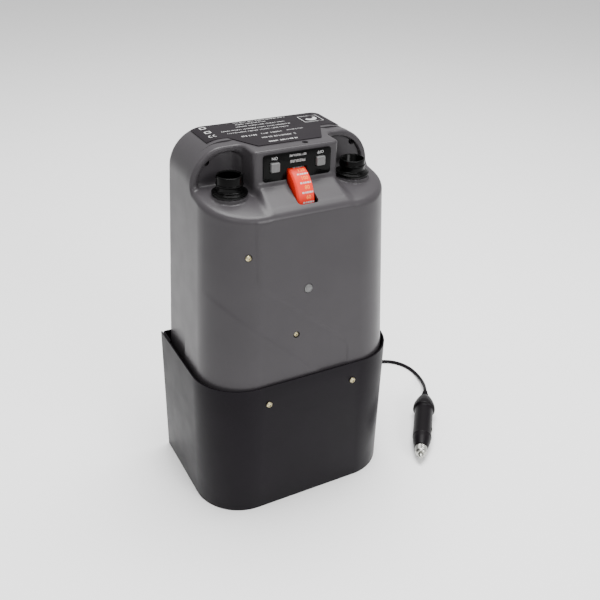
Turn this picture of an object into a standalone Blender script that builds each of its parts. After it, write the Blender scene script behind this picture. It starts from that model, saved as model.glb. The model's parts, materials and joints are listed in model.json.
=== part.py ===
"""Portable 12 V electric air pump standing in its battery sleeve.

A grey moulded pump case (front cover and rear shell) stands in a black sheet-metal sleeve that
holds a sealed lead-acid battery. Inside the case a DC motor drives a centrifugal blower at its
rear end and, through a pinion and a crank gear, a small piston compressor at its front end.

Frame: metres, +Z up, +X to the right when looking at the front, -Y towards the front, origin at
the bottom centre of the pump. Every length below is written in millimetres times MM.
"""

import math

import bmesh
import bpy
from mathutils import Matrix, Vector

MM = 0.001
GAP = 0.3 * MM  # clearance between pieces that touch
OVERSHOOT = 1.0 * MM  # how far a cutter passes through the face it cuts

# Battery sleeve
SLEEVE_WIDTH = 200 * MM
SLEEVE_DEPTH = 130 * MM
SLEEVE_HEIGHT = 142 * MM
SLEEVE_CORNER = 46 * MM  # plan radius of the two front corners
SHEET = 1.5 * MM  # sheet-metal thickness
SCREW_HOLE = 1.9 * MM  # radius of a screw's clearance hole
REAR_SCREW_X = 60 * MM
TAB = 20 * MM  # side tabs of the rear panel
SLEEVE_SCREW_X = 44 * MM
SLEEVE_SCREW_Z = 122.5 * MM
SHELF_TOP = 111.7 * MM
SHELF_OPENING = (136 * MM, 70 * MM)

# Pump case
CASE_BOTTOM = 112 * MM
CASE_TOP = 347 * MM
CASE_WALL = 2.5 * MM
CASE_REAR = 60.4 * MM
PARTING_Y = 12 * MM
SHOULDER = 32 * MM  # radius of the two top corners, seen from the front
REAR_HALF_WIDTH = 92.75 * MM  # at the sleeve's top edge
REAR_DRAFT = 0.0475  # half-width lost per unit of height
FRONT_HALF_WIDTH = 95.2 * MM
FRONT_SIDE_DRAFT = 0.0535
FRONT_FACE_Y = -62.5 * MM  # at the sleeve's top edge
FRONT_FACE_DRAFT = 0.04
FRONT_CORNER = 43 * MM
ARCH_TRIM = 0.3 * MM  # how far the front cover lies below the rear shell at the seam
RIM_Y = 1 * MM  # front of the rim that frames the upright face behind the hose ports
RIM_WIDTH = 6 * MM
RECESS_Y = 4.2 * MM  # the upright face itself
LEDGE_Z = 312.5 * MM  # ledge height at y = 0
LEDGE_SLOPE = 0.12
LEDGE_EDGE = 9 * MM  # radius of the ledge's outer edge
CONSOLE_HALF = 40 * MM
CONSOLE_Y = -24.4 * MM
CONSOLE_HOLE = (11 * MM, -17 * MM, 2.8 * MM)  # x, y and radius of the small hole in its top

# Hose ports
PORT_X = 58.8 * MM
PORT_Y = -17.7 * MM
PORT_FLANGE_Z = 312.9 * MM  # underside of the flange
PORT_SEAT_Z = PORT_FLANGE_Z - 1.2 * MM  # flat seat for the gasket
PORT_TOPS = {"inflate": 328.8 * MM, "deflate": 326.4 * MM}
PORT_NOTCHES = {"inflate": (170, 350), "deflate": ()}  # angles of the bayonet notches, in degrees
PORT_OUTER = 11.2 * MM
PORT_BORE = 9.2 * MM
PORT_FLANGE = 15.2 * MM
PORT_SPIGOT = 10.4 * MM

# Controls
PANEL_SIZE = (63.5 * MM, 0.8 * MM, 23.2 * MM)
PANEL_Z = 331.3 * MM
BUTTON_X = 21.5 * MM
BUTTON_Z = 332 * MM
BUTTON_SIDE = 8.2 * MM
BUTTON_TRAVEL = 1.5 * MM
SWITCH = (12.5 * MM, 9 * MM, 12.5 * MM)
DIAL_Y, DIAL_Z = -16 * MM, 301.5 * MM
DIAL_RADIUS = 28 * MM
DIAL_RIM_HALF = 7.5 * MM
SLOT_HALF = 10.5 * MM
SLOT_FRONT = -50.5 * MM  # the slot's front end on the ledge

# Battery
BATTERY = (151 * MM, 65 * MM, 94 * MM)
TERMINAL_X, TERMINAL_Y = 64 * MM, 22 * MM
LEAD_X, LEAD_Y = 30 * MM, 30 * MM  # where the battery leads pass into the case

# Drive train
MOTOR_X, MOTOR_Z = -15 * MM, 226 * MM
MOTOR_RADIUS = 26 * MM
MOTOR_FRONT, MOTOR_REAR = -28 * MM, 22 * MM
GEAR_MODULE = 1.0 * MM
PINION_TEETH = 12
CRANK_TEETH = 60
GEAR_FRONT, GEAR_REAR = -43 * MM, -36 * MM
MESH_SLACK = 0.4 * MM  # added to the centre distance for running clearance
CRANK_X = MOTOR_X + (PINION_TEETH + CRANK_TEETH) / 2 * GEAR_MODULE + MESH_SLACK
CRANK_RADIUS = 8 * MM
PISTON_Y = -44.5 * MM
PISTON_RADIUS = 10.1 * MM
PISTON_Z = 160 * MM  # at the end of its stroke nearest the head
PISTON_HALF = 4 * MM
CYLINDER_LOW, CYLINDER_HIGH = 153 * MM, 192 * MM
PLATE_FRONT, PLATE_REAR = -31.3 * MM, -28.4 * MM
BLOWER_RADIUS = 60 * MM
BLOWER_FRONT, BLOWER_REAR = 25.5 * MM, 52 * MM
IMPELLER_RADIUS = 50 * MM

# Cord and plug
CORD_RADIUS = 2.0 * MM
GLAND = Vector((60 * MM, 90 * MM, 28 * MM))  # tip of the strain relief
COIL_CENTRE = Vector((-5 * MM, 112 * MM, 0))
COIL_RADIUS = 22.4 * MM  # middle of its turns
COIL_HALF = 3 * CORD_RADIUS
CORD_TO_COIL = [
    (60, 90.6, 28), (60.1, 99.5, 27), (59.4, 108.5, 21.5), (57, 117, 13.2), (52, 125, 6.2),
    (44, 131.6, 2.7), (34, 135.8, 2.05), (24, 137.8, 2.05), (11.5, 138.4, 2.05),
]
CORD_TO_PLUG = [
    (11.5, 85.6, 10), (20, 85.6, 9.4), (30, 85.8, 7.4), (42, 86.4, 4.2), (54, 87.4, 2.4),
    (70, 89, 2.05), (95, 92.4, 2.05), (125, 96, 2.05), (155, 98.2, 2.05), (175, 97.6, 2.05),
    (190, 94.2, 2.05), (202, 88.2, 2.05), (210.5, 78.6, 2.05), (215.2, 66, 2.1),
    (215.6, 52, 2.4), (212.4, 38, 4.2), (206.8, 25, 7.4), (200, 13.6, 11.2), (194.4, 5.3, 13.9),
]
PLUG_TAIL = Vector((193.6 * MM, 4.2 * MM, 14.3 * MM))
PLUG_AXIS = Vector((-0.6155, -0.7881, -0.0436)).normalized()  # lies on its collar and barrel
SPRING_ANGLE = -46  # turn of the side contact about the plug's axis, in degrees

parts = None
cutters = None


# ---------------------------------------------------------------- scene and materials

def start_scene():
    """Empties the scene and makes one collection for the parts and one for the cutters."""
    global parts, cutters
    for obj in list(bpy.data.objects):
        bpy.data.objects.remove(obj)
    for collection in list(bpy.data.collections):
        bpy.data.collections.remove(collection)
    parts = bpy.data.collections.new("battery_air_pump")
    cutters = bpy.data.collections.new("cutters")
    bpy.context.scene.collection.children.link(parts)
    bpy.context.scene.collection.children.link(cutters)


def material(name, colour, roughness=0.5, metallic=0.0):
    mat = bpy.data.materials.new(name)
    mat.use_nodes = True
    shader = mat.node_tree.nodes["Principled BSDF"]
    shader.inputs["Base Color"].default_value = (*colour, 1.0)
    shader.inputs["Roughness"].default_value = roughness
    shader.inputs["Metallic"].default_value = metallic
    return mat


COLOURS = {
    "case_grey": ((0.12, 0.115, 0.12), 0.35, 0.0),
    "powder_black": ((0.018, 0.015, 0.018), 0.4, 0.0),
    "gloss_black": ((0.008, 0.008, 0.009), 0.22, 0.0),
    "label_dark": ((0.035, 0.028, 0.036), 0.45, 0.0),
    "button_grey": ((0.22, 0.22, 0.22), 0.4, 0.0),
    "dial_red": ((0.75, 0.05, 0.02), 0.35, 0.0),
    "rubber": ((0.01, 0.01, 0.01), 0.7, 0.0),
    "brass": ((0.72, 0.6, 0.35), 0.3, 1.0),
    "steel": ((0.55, 0.55, 0.56), 0.3, 1.0),
    "battery_case": ((0.03, 0.03, 0.035), 0.5, 0.0),
    "board_green": ((0.02, 0.12, 0.05), 0.5, 0.0),
    "cast_alloy": ((0.4, 0.4, 0.41), 0.45, 1.0),
    "nylon_white": ((0.7, 0.69, 0.64), 0.5, 0.0),
    "lead_red": ((0.5, 0.02, 0.02), 0.5, 0.0),
}


# ---------------------------------------------------------------- mesh helpers

def add_object(name, mesh, colour=None, collection=None):
    obj = bpy.data.objects.new(name, mesh)
    (collection or parts).objects.link(obj)
    if colour:
        mesh.materials.clear()
        mesh.materials.append(material(name, *COLOURS[colour]))
    return obj


def finish_mesh(bm, name):
    """Closes off a bmesh as a mesh with outward normals and smooth round sides."""
    bmesh.ops.recalc_face_normals(bm, faces=bm.faces)
    mesh = bpy.data.meshes.new(name)
    bm.to_mesh(mesh)
    bm.free()
    mesh.shade_smooth()
    mesh.set_sharp_from_angle(angle=math.radians(35))
    return mesh


def box_mesh(name, size, centre=(0, 0, 0), bevel=0.0, segments=2):
    bm = bmesh.new()
    bmesh.ops.create_cube(bm, size=1.0)
    bmesh.ops.scale(bm, vec=size, verts=bm.verts)
    if bevel:
        bmesh.ops.bevel(
            bm, geom=bm.edges[:], offset=bevel, segments=segments, affect="EDGES", profile=0.5
        )
    bmesh.ops.translate(bm, vec=centre, verts=bm.verts)
    return finish_mesh(bm, name)


def axis_matrix(axis):
    """Turns +Z onto the named axis or the given direction."""
    names = {"X": (1, 0, 0), "Y": (0, 1, 0), "Z": (0, 0, 1)}
    direction = Vector(names[axis] if isinstance(axis, str) else axis)
    return Vector((0, 0, 1)).rotation_difference(direction).to_matrix().to_4x4()


def cylinder_mesh(name, radius, start, end, axis="Z", centre=(0, 0), sides=24):
    """A cylinder along an axis from start to end; centre holds its other two coordinates."""
    bm = bmesh.new()
    bmesh.ops.create_cone(
        bm, cap_ends=True, segments=sides, radius1=radius, radius2=radius, depth=end - start
    )
    middle = (start + end) / 2
    place = {
        "X": (middle, *centre),
        "Y": (centre[0], middle, centre[1]),
        "Z": (*centre, middle),
    }[axis]
    bmesh.ops.transform(bm, matrix=Matrix.Translation(place) @ axis_matrix(axis), verts=bm.verts)
    return finish_mesh(bm, name)


def prism_mesh(name, outline, start, end, axis="Y"):
    """A closed prism: an outline of (across, up) points, pushed from start to end along an axis."""
    place = {
        "X": lambda a, b: (start, a, b),
        "Y": lambda a, b: (a, start, b),
        "Z": lambda a, b: (a, b, start),
    }[axis]
    push = {"X": (end - start, 0, 0), "Y": (0, end - start, 0), "Z": (0, 0, end - start)}[axis]
    bm = bmesh.new()
    face = bm.faces.new([bm.verts.new(place(a, b)) for a, b in outline])
    pushed = bmesh.ops.extrude_face_region(bm, geom=[face])
    moved = [v for v in pushed["geom"] if isinstance(v, bmesh.types.BMVert)]
    bmesh.ops.translate(bm, vec=push, verts=moved)
    return finish_mesh(bm, name)


def turned(name, colour, profile, steps=24, matrix=None, collection=None):
    """A solid of revolution about +Z from (radius, height) points, top to bottom on the outside."""
    bm = bmesh.new()
    points = [bm.verts.new((r, 0, z)) for r, z in profile]
    closed = profile[0][0] > 1e-9
    ring = points + points[:1] if closed else points
    for a, b in zip(ring[:-1], ring[1:]):
        bm.edges.new((a, b))
    mesh = bpy.data.meshes.new(name)
    bm.to_mesh(mesh)
    bm.free()
    obj = add_object(name, mesh, colour, collection)
    screw = obj.modifiers.new("turn", "SCREW")
    screw.steps = screw.render_steps = steps
    screw.use_merge_vertices = True
    screw.merge_threshold = 0.00001
    screw.use_smooth_shade = True
    if matrix is not None:
        obj.matrix_world = matrix
    return obj


def tube(name, colour, points, radius, resolution=2):
    """A round wire or hose along a poly line."""
    curve = bpy.data.curves.new(name, "CURVE")
    curve.dimensions = "3D"
    curve.bevel_depth = radius
    curve.bevel_resolution = resolution
    curve.use_fill_caps = True
    spline = curve.splines.new("POLY")
    spline.points.add(len(points) - 1)
    for point, co in zip(spline.points, points):
        point.co = (*co, 1.0)
    obj = bpy.data.objects.new(name, curve)
    parts.objects.link(obj)
    curve.materials.append(material(name, *COLOURS[colour]))
    return obj


def smooth_route(points, spacing):
    """Evenly spaced points on the smooth curve through the given millimetre points."""
    knots = [Vector(p) * MM for p in points]
    knots = [knots[0] * 2 - knots[1], *knots, knots[-1] * 2 - knots[-2]]
    fine = []
    for a, b, c, d in zip(knots, knots[1:], knots[2:], knots[3:]):
        for step in range(16):
            t = step / 16
            square, cube = 2 * a - 5 * b + 4 * c - d, 3 * b - a - 3 * c + d
            fine.append(0.5 * (2 * b + (c - a) * t + square * t * t + cube * t ** 3))
    fine.append(knots[-2])
    lengths = [0.0]
    for a, b in zip(fine, fine[1:]):
        lengths.append(lengths[-1] + (b - a).length)
    count = max(2, round(lengths[-1] / spacing))
    route, k = [], 0
    for i in range(count + 1):
        want = lengths[-1] * i / count
        while k < len(lengths) - 2 and lengths[k + 1] < want:
            k += 1
        t = (want - lengths[k]) / (lengths[k + 1] - lengths[k])
        route.append(fine[k].lerp(fine[k + 1], t))
    return route


def in_mm(points):
    """Points given in millimetres, in metres."""
    return [tuple(value * MM for value in point) for point in points]


def as_cutter(obj):
    obj.display_type = "WIRE"
    obj.hide_render = True
    return obj


def boolean(target, mesh, operation="DIFFERENCE"):
    """Joins or cuts target with a mesh, which becomes a hidden cutter object."""
    name = f"{target.name}_{operation.lower()}_{len(target.modifiers)}"
    cutter = as_cutter(add_object(name, mesh, None, cutters))
    modifier = target.modifiers.new(operation.lower(), "BOOLEAN")
    modifier.operation = operation
    modifier.solver = "EXACT"
    modifier.object = cutter
    return modifier


def arc(cx, cy, radius, start, end, steps):
    """Points on an arc; the angles are in degrees."""
    return [
        (cx + radius * math.cos(math.radians(start + (end - start) * i / steps)),
         cy + radius * math.sin(math.radians(start + (end - start) * i / steps)))
        for i in range(steps + 1)
    ]


# ---------------------------------------------------------------- sleeve

def plan_outline(inset, rear, steps=8):
    """Plan of the sleeve's inside, inset from its outer face, with square rear corners."""
    half, front = SLEEVE_WIDTH / 2 - inset, -SLEEVE_DEPTH / 2 + inset
    radius = SLEEVE_CORNER - inset
    return [
        (half, rear),
        (-half, rear),
        *arc(-half + radius, front + radius, radius, 180, 270, steps),
        *arc(half - radius, front + radius, radius, 270, 360, steps),
    ]


def wall_along(name, path, height, colour):
    """A sheet-metal wall that follows a plan path, thickened towards its right-hand side."""
    bm = bmesh.new()
    low = [bm.verts.new((x, y, 0)) for x, y in path]
    for a, b in zip(low, low[1:]):
        bm.edges.new((a, b))
    pushed = bmesh.ops.extrude_edge_only(bm, edges=bm.edges[:])
    top = [v for v in pushed["geom"] if isinstance(v, bmesh.types.BMVert)]
    bmesh.ops.translate(bm, vec=(0, 0, height), verts=top)
    mesh = bpy.data.meshes.new(name)
    bm.to_mesh(mesh)
    bm.free()
    obj = add_object(name, mesh, colour)
    solid = obj.modifiers.new("sheet", "SOLIDIFY")
    solid.thickness = SHEET
    solid.offset = -1
    solid.use_even_offset = True
    return obj


def battery_sleeve():
    outline = plan_outline(0, SLEEVE_DEPTH / 2, 10)
    path = outline[1:] + outline[:1]
    sleeve = wall_along("battery_sleeve", path[::-1], SLEEVE_HEIGHT, "powder_black")
    for side in (-1, 1):
        boolean(sleeve, cylinder_mesh(
            "hole", 2.2 * MM, -70 * MM, -60 * MM, "Y", (side * SLEEVE_SCREW_X, SLEEVE_SCREW_Z), 12))
    return sleeve


def rear_panel():
    half, rear = SLEEVE_WIDTH / 2 - SHEET - GAP, SLEEVE_DEPTH / 2
    path = [(half, rear - TAB), (half, rear), (-half, rear), (-half, rear - TAB)]
    panel = wall_along("rear_panel", path[::-1], SLEEVE_HEIGHT, "powder_black")
    for x, z, radius in (
        (-REAR_SCREW_X, SLEEVE_SCREW_Z, 2.2 * MM),
        (REAR_SCREW_X, SLEEVE_SCREW_Z, 2.2 * MM),
        (GLAND.x, GLAND.z, 4.8 * MM),
    ):
        boolean(panel, cylinder_mesh("hole", radius, 60 * MM, 70 * MM, "Y", (x, z), 12))
    return panel


def base_plate():
    inset = SHEET * 2 + GAP * 2
    outline = plan_outline(inset, SLEEVE_DEPTH / 2 - SHEET - GAP)
    add_object("base_plate", prism_mesh("base_plate", outline, 0, SHEET, "Z"), "powder_black")


def support_shelf():
    """The ledge plate that the pump case stands on, open in the middle for the battery leads."""
    inset = SHEET * 2 + GAP * 2
    outline = plan_outline(inset, SLEEVE_DEPTH / 2 - SHEET - GAP)
    mesh = prism_mesh("support_shelf", outline, SHELF_TOP - SHEET, SHELF_TOP, "Z")
    shelf = add_object("support_shelf", mesh, "powder_black")
    width, depth = SHELF_OPENING
    boolean(shelf, box_mesh("opening", (width, depth, 10 * MM), (0, 10 * MM, SHELF_TOP)))


# ---------------------------------------------------------------- pump case

def half_width(z, base, draft):
    return base - draft * (z - SLEEVE_HEIGHT)


def arch_outline(base, draft, low, inset=0.0, steps=8, trim=0.0):
    """The case seen from the front: drafted sides, round shoulders and a flat top."""
    top = CASE_TOP - inset - trim
    radius = SHOULDER - inset - trim
    shoulder_z = top - radius
    side = half_width(shoulder_z, base, draft) - inset - trim
    foot = half_width(low, base, draft) - inset - trim
    return [
        (-foot, low),
        (foot, low),
        *arc(side - radius, shoulder_z, radius, 0, 90, steps),
        *arc(-side + radius, shoulder_z, radius, 90, 180, steps),
    ]


def counterbore(target, x, z, face):
    """A screw seat: a recess for the head and a clearance hole for the shank."""
    boolean(target, cylinder_mesh(
        "seat", 3.2 * MM, face - 2 * MM, face + 3.2 * MM, "Y", (x, z), 16))
    boolean(target, cylinder_mesh(
        "shank", SCREW_HOLE, face + 2 * MM, face + 12 * MM, "Y", (x, z), 10))


def front_mass(inset, rear):
    """The front cover's volume: arch band, bulge below the ledge, and the control console."""
    arch = prism_mesh(
        "front_cover",
        arch_outline(FRONT_HALF_WIDTH, FRONT_SIDE_DRAFT, 285 * MM, inset, 8, ARCH_TRIM),
        RECESS_Y + inset if inset else RIM_Y, rear,
    )
    return arch, bulge_mesh(inset, rear), console_mesh(inset, rear)


def bulge_mesh(inset, rear):
    """The body below the ledge: drafted sides, round front corners and a rounded ledge edge."""
    def ring(z_of, height):
        half = half_width(height, FRONT_HALF_WIDTH, FRONT_SIDE_DRAFT) - inset
        front = FRONT_FACE_Y + FRONT_FACE_DRAFT * (height - SLEEVE_HEIGHT) + inset
        front = max(front, FRONT_FACE_Y + inset)
        half = min(half, FRONT_HALF_WIDTH + 1.2 * MM - inset)
        radius = FRONT_CORNER - inset
        plan = [
            (half, rear),
            (-half, rear),
            *arc(-half + radius, front + radius, radius, 180, 270, 8),
            *arc(half - radius, front + radius, radius, 270, 360, 8),
        ]
        return [bm.verts.new((x, y, z_of(y))) for x, y in plan]

    bm = bmesh.new()
    low = ring(lambda y: CASE_BOTTOM + inset, CASE_BOTTOM)
    waist = ring(lambda y: SLEEVE_HEIGHT, SLEEVE_HEIGHT)
    high = ring(lambda y: LEDGE_Z + LEDGE_SLOPE * y - inset, LEDGE_Z)
    for a, b in ((low, waist), (waist, high)):
        for i in range(len(a)):
            j = (i + 1) % len(a)
            bm.faces.new((a[i], a[j], b[j], b[i]))
    bm.faces.new(low[::-1])
    top = bm.faces.new(high)
    rim = [e for e in top.edges if not all(abs(v.co.y - rear) < 1e-6 for v in e.verts)]
    bmesh.ops.bevel(bm, geom=rim, offset=LEDGE_EDGE - inset, segments=3, affect="EDGES", profile=0.5)
    bmesh.ops.triangulate(bm, faces=bm.faces)
    return finish_mesh(bm, "bulge")


def recess_mesh():
    """The shallow recess inside the rim, from the ledge up to the case's top."""
    outline = arch_outline(FRONT_HALF_WIDTH, FRONT_SIDE_DRAFT, LEDGE_Z - 2 * MM, RIM_WIDTH, 8, ARCH_TRIM)
    return prism_mesh("recess", outline, RIM_Y - OVERSHOOT, RECESS_Y)


def console_mesh(inset, rear):
    half, front, edge = CONSOLE_HALF - inset, CONSOLE_Y + inset, 5 * MM - inset
    outline = [
        (half, rear - 0.5 * MM),
        (-half, rear - 0.5 * MM),
        *arc(-half + edge, front + edge, edge, 180, 270, 3),
        *arc(half - edge, front + edge, edge, 270, 360, 3),
    ]
    return prism_mesh("console", outline, 295 * MM, CASE_TOP - inset - ARCH_TRIM, "Z")


def front_face(z):
    return FRONT_FACE_Y + FRONT_FACE_DRAFT * (z - SLEEVE_HEIGHT)


FRONT_SCREWS = {
    "front_screw_upper": (-59 * MM, 269.2 * MM),
    "front_screw_lower": (-15 * MM, 186.5 * MM),
}
CORNER_SCREWS = {"corner_screw_left": -70.5 * MM, "corner_screw_right": 70.5 * MM}
CORNER_SCREW_Z = 333.5 * MM
CAP_X, CAP_Z = -4 * MM, 230.5 * MM


def front_cover():
    rear = PARTING_Y - GAP / 2
    arch, bulge, console = front_mass(0.0, rear)
    cover = add_object("front_cover", arch, "case_grey")
    boolean(cover, recess_mesh())
    boolean(cover, bulge, "UNION")
    boolean(cover, console, "UNION")
    for mesh in front_mass(CASE_WALL, rear + OVERSHOOT):
        boolean(cover, mesh)
    cut_screw_seats(cover)
    cut_dial_slot(cover)
    slot_length = DIAL_Y - SLOT_FRONT
    boolean(cover, box_mesh(
        "slot_end", (2 * SLOT_HALF, slot_length, 20 * MM), (0, DIAL_Y - slot_length / 2, DIAL_Z + 2 * MM)))
    cut_button_holes(cover)
    x, y, radius = CONSOLE_HOLE
    boolean(cover, cylinder_mesh("console_hole", radius, 335 * MM, 355 * MM, "Z", (x, y), 16))
    for side in (-1, 1):
        cut_port_seat(cover, (side * PORT_X, PORT_Y))
        place = (side * SLEEVE_SCREW_X, SLEEVE_SCREW_Z)
        boolean(cover, cylinder_mesh("sleeve_screw", SCREW_HOLE, -70 * MM, -50 * MM, "Y", place, 10))
    return cover


def cut_screw_seats(cover):
    """Bosses inside the cover with counterbored seats, and the round hole for the screw cap."""
    seats = [(x, z, front_face(z)) for x, z in FRONT_SCREWS.values()]
    seats += [(x, CORNER_SCREW_Z, RECESS_Y) for x in CORNER_SCREWS.values()]
    for x, z, face in seats:
        boolean(cover, cylinder_mesh(
            "boss", 5.2 * MM, face + 1.5 * MM, face + 7 * MM, "Y", (x, z), 16), "UNION")
    for x, z, face in seats:
        counterbore(cover, x, z, face)
    boolean(cover, cylinder_mesh(
        "cap", 4.2 * MM, front_face(CAP_Z) - 5 * MM, front_face(CAP_Z) + 5 * MM, "Y", (CAP_X, CAP_Z), 16))


def cut_dial_slot(target):
    boolean(target, cylinder_mesh(
        "dial_slot", DIAL_RADIUS + 1.5 * MM, -SLOT_HALF, SLOT_HALF, "X", (DIAL_Y, DIAL_Z), 32))


def cut_button_holes(target):
    side = BUTTON_SIDE + 1.2 * MM
    for x in (-BUTTON_X, BUTTON_X):
        boolean(target, box_mesh("button", (side, 12 * MM, side), (x, CONSOLE_Y, BUTTON_Z)))


def cut_port_seat(cover, place):
    """A flat round seat on the ledge with the hole for the port's spigot."""
    seat, low = PORT_FLANGE + 1 * MM, PORT_SEAT_Z
    boolean(cover, cylinder_mesh("port_pad", seat, low - 6 * MM, low, "Z", place, 24), "UNION")
    boolean(cover, cylinder_mesh("port_seat", seat, low, low + 16 * MM, "Z", place, 24))
    boolean(cover, cylinder_mesh("port", PORT_SPIGOT + GAP, 300 * MM, 320 * MM, "Z", place, 24))


def rear_shell():
    """Rear half of the case: an open-fronted shell with screw posts, vents and lead holes."""
    front = PARTING_Y + GAP / 2
    outline = arch_outline(REAR_HALF_WIDTH, REAR_DRAFT, CASE_BOTTOM)
    bm = bmesh.new()
    rear_face = bm.faces.new([bm.verts.new((x, CASE_REAR, z)) for x, z in outline])
    edges = rear_face.edges[:]
    pushed = bmesh.ops.extrude_edge_only(bm, edges=edges)
    moved = [v for v in pushed["geom"] if isinstance(v, bmesh.types.BMVert)]
    bmesh.ops.translate(bm, vec=(0, front - CASE_REAR, 0), verts=moved)
    bmesh.ops.bevel(bm, geom=edges, offset=5 * MM, segments=2, affect="EDGES", profile=0.5)
    shell = add_object("rear_shell", finish_mesh(bm, "rear_shell"), "case_grey")
    solid = shell.modifiers.new("wall", "SOLIDIFY")
    solid.thickness = CASE_WALL
    solid.offset = -1
    solid.use_even_offset = True
    posts = [(x, CORNER_SCREW_Z) for x in CORNER_SCREWS.values()]
    for post in posts:
        boolean(shell, cylinder_mesh(
            "post", 4.2 * MM, front + 2 * MM, CASE_REAR - 1 * MM, "Y", post, 12), "UNION")
    for post in posts:
        boolean(shell, cylinder_mesh(
            "bore", SCREW_HOLE, front - 1 * MM, front + 14 * MM, "Y", post, 10))
    for side in (-1, 1):
        lead, screw_place = (side * LEAD_X, LEAD_Y), (side * REAR_SCREW_X, SLEEVE_SCREW_Z)
        boolean(shell, cylinder_mesh(
            "lead", 2.4 * MM, CASE_BOTTOM - 5 * MM, CASE_BOTTOM + 5 * MM, "Z", lead, 12))
        boolean(shell, cylinder_mesh("screw", SCREW_HOLE, 50 * MM, 70 * MM, "Y", screw_place, 10))
    for row in range(6):
        boolean(shell, box_mesh("vent", (60 * MM, 12 * MM, 3.4 * MM), (0, CASE_REAR, (232 + 9 * row) * MM)))
    return shell


def screw(name, x, z, face, shank, head=2.7 * MM, direction=1, colour="brass"):
    """A pan-head screw along Y whose head's underside lies at face."""
    profile = [
        (0, 2.2 * MM), (head * 0.55, 2.0 * MM), (head * 0.9, 1.2 * MM), (head, 0.2 * MM), (head, 0),
        (1.5 * MM, 0), (1.5 * MM, -shank), (0, -shank - 1 * MM),
    ]
    matrix = Matrix.Translation((x, face, z)) @ axis_matrix(Vector((0, -direction, 0)))
    turned(name, colour, profile, 12, matrix)


def screws():
    for name, (x, z) in FRONT_SCREWS.items():
        screw(name, x, z, front_face(z) + 2.9 * MM, 10 * MM)
    for name, x in CORNER_SCREWS.items():
        screw(name, x, CORNER_SCREW_Z, RECESS_Y + 2.9 * MM, 15 * MM, colour="powder_black")
    front, rear = -SLEEVE_DEPTH / 2 - GAP, SLEEVE_DEPTH / 2 + GAP
    for side, word in ((-1, "left"), (1, "right")):
        screw(f"sleeve_screw_front_{word}", side * SLEEVE_SCREW_X, SLEEVE_SCREW_Z, front, 9 * MM, 2.9 * MM)
        screw(f"sleeve_screw_rear_{word}", side * REAR_SCREW_X, SLEEVE_SCREW_Z, rear, 9 * MM, 2.9 * MM, -1)


def screw_cap():
    face = front_face(CAP_Z)
    profile = in_mm([(0, 0.6), (3.4, 0.3), (3.9, -0.4), (3.9, -4), (0, -4)])
    matrix = Matrix.Translation((CAP_X, face, CAP_Z)) @ axis_matrix(Vector((0, -1, 0)))
    turned("screw_cap", "button_grey", profile, 16, matrix)


# ---------------------------------------------------------------- ports

def port(word, side):
    """A bayonet hose socket: collar with two notches, flange, and a spigot through the ledge."""
    base, top = PORT_FLANGE_Z, PORT_TOPS[word]
    profile = [
        (PORT_OUTER - 0.8 * MM, top), (PORT_OUTER, top - 0.8 * MM), (PORT_OUTER, base + 3.2 * MM),
        (PORT_FLANGE, base + 2.6 * MM), (PORT_FLANGE, base), (PORT_SPIGOT, base),
        (PORT_SPIGOT, 296 * MM), (PORT_BORE - 1 * MM, 296 * MM), (PORT_BORE - 1 * MM, base + 4 * MM),
        (PORT_BORE, base + 5 * MM), (PORT_BORE, top),
    ]
    obj = turned(f"{word}_port", "gloss_black", profile, 24, Matrix.Translation((side * PORT_X, PORT_Y, 0)))
    for angle in PORT_NOTCHES[word]:
        notch = box_mesh("notch", (5 * MM, 5 * MM, 6 * MM), (PORT_OUTER - 1 * MM, 0, 0))
        notch.transform(Matrix.Translation((side * PORT_X, PORT_Y, top)) @ Matrix.Rotation(
            math.radians(angle), 4, "Z"))
        boolean(obj, notch)
    gasket = [
        (PORT_FLANGE - 1 * MM, 0.0), (PORT_FLANGE - 1 * MM, -0.6 * MM),
        (PORT_SPIGOT + GAP, -0.6 * MM), (PORT_SPIGOT + GAP, 0.0),
    ]
    under = Matrix.Translation((side * PORT_X, PORT_Y, PORT_FLANGE_Z - GAP))
    turned(f"{word}_gasket", "rubber", gasket, 24, under)


# ---------------------------------------------------------------- controls

def control_panel():
    width, thick, height = PANEL_SIZE
    face = CONSOLE_Y - GAP
    corner = 2.5 * MM
    outline = [
        *arc(width / 2 - corner, height / 2 - corner, corner, 0, 90, 3),
        *arc(-width / 2 + corner, height / 2 - corner, corner, 90, 180, 3),
        *arc(-width / 2 + corner, -height / 2 + corner, corner, 180, 270, 3),
        *arc(width / 2 - corner, -height / 2 + corner, corner, 270, 360, 3),
    ]
    outline = [(x, z + PANEL_Z) for x, z in outline]
    mesh = prism_mesh("control_panel", outline, face - thick, face)
    panel = add_object("control_panel", mesh, "gloss_black")
    cut_dial_slot(panel)
    cut_button_holes(panel)


def button(name, side):
    """A push button whose origin lies on its line of travel, at the back of the cap."""
    front, back = CONSOLE_Y - 3.6 * MM, CONSOLE_Y + 6 * MM
    mesh = box_mesh(name, (BUTTON_SIDE, back - front, BUTTON_SIDE), (0, (front - back) / 2, 0), 0.8 * MM, 2)
    obj = add_object(name, mesh, "button_grey")
    obj.location = (side * BUTTON_X, back, BUTTON_Z)
    word = name.split("_")[0]
    low = back + BUTTON_TRAVEL + GAP
    width, depth, height = SWITCH
    add_object(f"{word}_switch", box_mesh(
        f"{word}_switch", (width, depth, height), (side * BUTTON_X, low + depth / 2, BUTTON_Z), 0.6 * MM, 1),
        "battery_case")


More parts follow.
